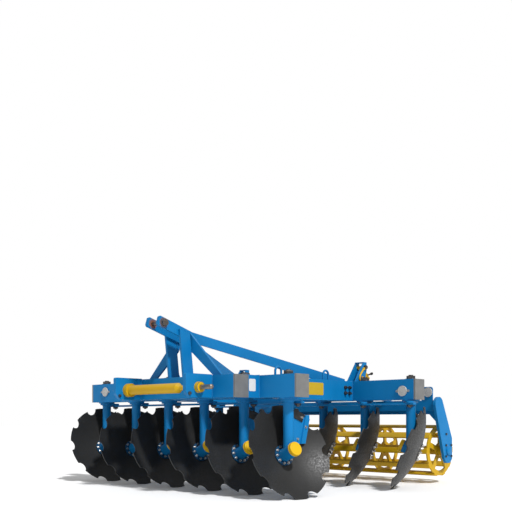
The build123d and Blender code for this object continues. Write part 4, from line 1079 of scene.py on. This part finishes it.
class HARROW_OT_welds(bpy.types.Operator):
    """Add the weld beads where tubes and plates meet"""

    bl_idname = "harrow.welds"
    bl_label = "Weld beads"

    def execute(self, context):
        radius = context.scene.harrow_sizes.weld
        self.weld_frame(radius)
        self.weld_roller_frame(radius)
        self.weld_roller()
        return {"FINISHED"}

    def weld_frame(self, radius):
        """The seams of the cheeks, headstock, beams, towers and lifting eyes."""
        # start, end and the two faces that a bead leans on, all mirrored to the other side
        seams = [
            ((CHEEK_OUT, -255, 570), (CHEEK_OUT, -255, 692), OUT, FRONT),
            ((CHEEK_IN, -255, 570), (CHEEK_IN, -255, 692), IN, FRONT),
            ((74, -238, TUBE_TOP), (74, -162, TUBE_TOP), OUT, UP),
            ((58, -238, TUBE_TOP), (58, -162, TUBE_TOP), IN, UP),
            ((272, -177, TUBE_TOP), (338, -177, TUBE_TOP), FRONT, UP),
            ((272, -163, TUBE_TOP), (338, -163, TUBE_TOP), BACK, UP),
            ((58, -177, 868), (58, -177, 926), OUT, FRONT),
            ((58, -163, 868), (58, -163, 926), OUT, BACK),
            ((58, -266, 979.1), (58, -194, 957.0), OUT, UP),
        ]
        hitch_beam_back = -145.0
        for y, toward in ((55.0, BACK), (855.0, FRONT), (-55.0, FRONT), (hitch_beam_back, BACK)):
            for x, out in ((RAIL_IN, IN), (RAIL_OUT, OUT)):
                if x == RAIL_IN or y != hitch_beam_back:
                    seams.append(((x, y, TUBE_LOW + 3), (x, y, TUBE_TOP - 3), out, toward))
            for z, level in ((TUBE_LOW, DOWN), (TUBE_TOP, UP)):
                seams.append(((RAIL_IN, y, z), (RAIL_OUT, y, z), toward, level))
        bm = bmesh.new()
        for start, end, out_a, out_b in seams:
            for side in SIDES:
                flip = Vector((side, 1, 1))
                add_bead(bm, at(*(Vector(start) * flip)), at(*(Vector(end) * flip)), radius,
                         Vector(out_a) * flip, Vector(out_b) * flip)
        tower_seams = (((876, TUBE_TOP), (962, TUBE_TOP), UP), ((965, 594), (965, TUBE_TOP), BACK))
        for x in TOWERS.values():
            for side in SIDES:
                add_seams(bm, x + side * TOWER_OUT, side, tower_seams, radius)
        eyes, eye_leg, eye_rod = (165.0, 630.0), 27.0, 0.0082
        for side in SIDES:
            for y in eyes:
                for leg in SIDES:
                    foot = shift(*at(side * RAIL_MIDDLE, y + leg * eye_leg, TUBE_TOP))
                    add_ring(bm, foot, eye_rod, radius * 0.75, 20, 8)
        finish_piece("frame_welds", bm, "frame_blue_enamel", "frame", sharp=60.0)

    def weld_roller_frame(self, radius):
        """The seams of the cross tube with its end arms, reflector plates and front arms."""
        front, back, top = CROSS_TUBE_FRONT, CROSS_TUBE_BACK, CROSS_TUBE_TOP
        seam_low, seam_high, lug_half = 504, 568, 10.0
        on_top = ((front + 3, top), (back - 3, top), UP)
        arm_seams = (((front, seam_low), (front, seam_high), FRONT), on_top,
                     ((back, seam_low), (back, seam_high), BACK))
        plate_shift, plate_back, plate_half = {"left": -9.0, "right": 9.0}, front + 8, 40
        bm = bmesh.new()
        for name, (x, out) in ARM_OUTSIDES.items():
            add_seams(bm, x - out * ARM_THICKNESS, -out, arm_seams, radius)
            plate = REFLECTOR_PLATES[name] + plate_shift[name]
            add_bead(bm, at(plate - plate_half, plate_back, top),
                     at(plate + plate_half, plate_back, top), radius * 0.8, BACK, UP)
        for x in TOWERS.values():
            for side in SIDES:
                add_seams(bm, x + side * lug_half, side, (on_top,), radius)
        finish_piece("roller_frame_welds", bm, "frame_blue_enamel", "roller_frame", sharp=60.0)

    def weld_roller(self):
        """The beads between the roller's tube and its wheels."""
        bar_length, wheel = 1800.0, 10.0
        tube_radius, bead = 0.0312, 0.0042
        first = ROLLER_MIDDLE - bar_length / 2
        step = (bar_length - wheel) / (ROLLER_WHEELS - 1)
        bm = bmesh.new()
        for i in range(ROLLER_WHEELS):
            for side in SIDES:
                x = first + step * i + wheel / 2 + side * wheel / 2
                add_ring(bm, across(x, ROLLER_AXLE, side), tube_radius, bead, 40, 8)
        finish_piece("roller_welds", bm, "yellow_enamel_painted_shade", "cage_roller", sharp=60.0)


class HARROW_OT_stage(bpy.types.Operator):
    """Make the pale floor, the soft lights and the camera"""

    bl_idname = "harrow.stage"
    bl_label = "Stage"

    def execute(self, context):
        scene = context.scene
        stage = scene.harrow_stage
        bm = bmesh.new()
        bmesh.ops.create_grid(bm, x_segments=1, y_segments=1, size=FLOOR_HALF)
        mesh = bpy.data.meshes.new("studio_floor")
        bm.to_mesh(mesh)
        bm.free()
        studio_floor("studio_floor", tuple(stage.floor))
        mesh.materials.append(bpy.data.materials["studio_floor"])
        floor = add_object("studio_floor", mesh)
        scene.world = bpy.data.worlds.new("white_studio")
        scene.world.use_nodes = True
        tree = scene.world.node_tree
        background = tree.nodes["Background"]
        background.inputs["Color"].default_value = (1.0, 1.0, 1.0, 1.0)
        seen = tree.nodes.new("ShaderNodeLightPath").outputs["Is Camera Ray"]
        strength = tree.nodes.new("ShaderNodeMapRange")
        strength.inputs["To Min"].default_value = stage.fill
        strength.inputs["To Max"].default_value = 1.0
        tree.links.new(seen, strength.inputs["Value"])
        tree.links.new(strength.outputs["Result"], background.inputs["Strength"])
        lamp = bpy.data.lights.new("key_light", "SUN")
        lamp.energy = stage.key
        lamp.angle = stage.softness
        key = add_object("key_light", lamp)
        key.location = at(*LAMP_AIM) + Vector(stage.key_from)
        key.rotation_euler = (-Vector(stage.key_from)).to_track_quat("-Z", "Y").to_euler()
        lens = bpy.data.cameras.new("photo_camera")
        lens.lens = stage.lens
        lens.sensor_width = SENSOR_WIDTH
        lens.shift_y = stage.rise
        camera = add_object("photo_camera", lens)
        camera.location = ORIGIN + Vector(stage.camera)
        camera.rotation_euler = (pi / 2, 0.0, stage.turn)
        scene.camera = camera
        scene.view_settings.view_transform = "Standard"
        return {"FINISHED"}


class HARROW_PT_panel(bpy.types.Panel):
    """Lists the machine's settings and steps"""

    bl_idname = "HARROW_PT_panel"
    bl_label = "Disc harrow"
    bl_space_type = "VIEW_3D"
    bl_region_type = "UI"
    bl_category = "Disc harrow"

    def draw(self, context):
        scene = context.scene
        for group in (scene.harrow_paint, scene.harrow_sizes, scene.harrow_stage):
            box = self.layout.box()
            for name in type(group).__annotations__:
                box.prop(group, name)
        for step in STEPS:
            self.layout.operator(step.bl_idname)


GROUPS = (HarrowPaint, HarrowSizes, HarrowStage)
STEPS = (
    HARROW_OT_paint, HARROW_OT_hub_caps, HARROW_OT_hub_flanges, HARROW_OT_post_nuts,
    HARROW_OT_scraper_fittings, HARROW_OT_reflectors, HARROW_OT_signs, HARROW_OT_frame_bolts,
    HARROW_OT_hitch_fittings, HARROW_OT_screw_towers, HARROW_OT_depth_screws,
    HARROW_OT_roller_bearings, HARROW_OT_roller_bars, HARROW_OT_welds, HARROW_OT_stage)


def register():
    for each in (*GROUPS, *STEPS, HARROW_PT_panel):
        bpy.utils.register_class(each)
    bpy.types.Scene.harrow_paint = bpy.props.PointerProperty(type=HarrowPaint)
    bpy.types.Scene.harrow_sizes = bpy.props.PointerProperty(type=HarrowSizes)
    bpy.types.Scene.harrow_stage = bpy.props.PointerProperty(type=HarrowStage)


def unregister():
    del bpy.types.Scene.harrow_stage
    del bpy.types.Scene.harrow_sizes
    del bpy.types.Scene.harrow_paint
    for each in reversed((*GROUPS, *STEPS, HARROW_PT_panel)):
        bpy.utils.unregister_class(each)


def main():
    register()
    for step in STEPS:
        group, name = step.bl_idname.split(".")
        getattr(getattr(bpy.ops, group), name)()


if __name__ == "__main__":
    main()
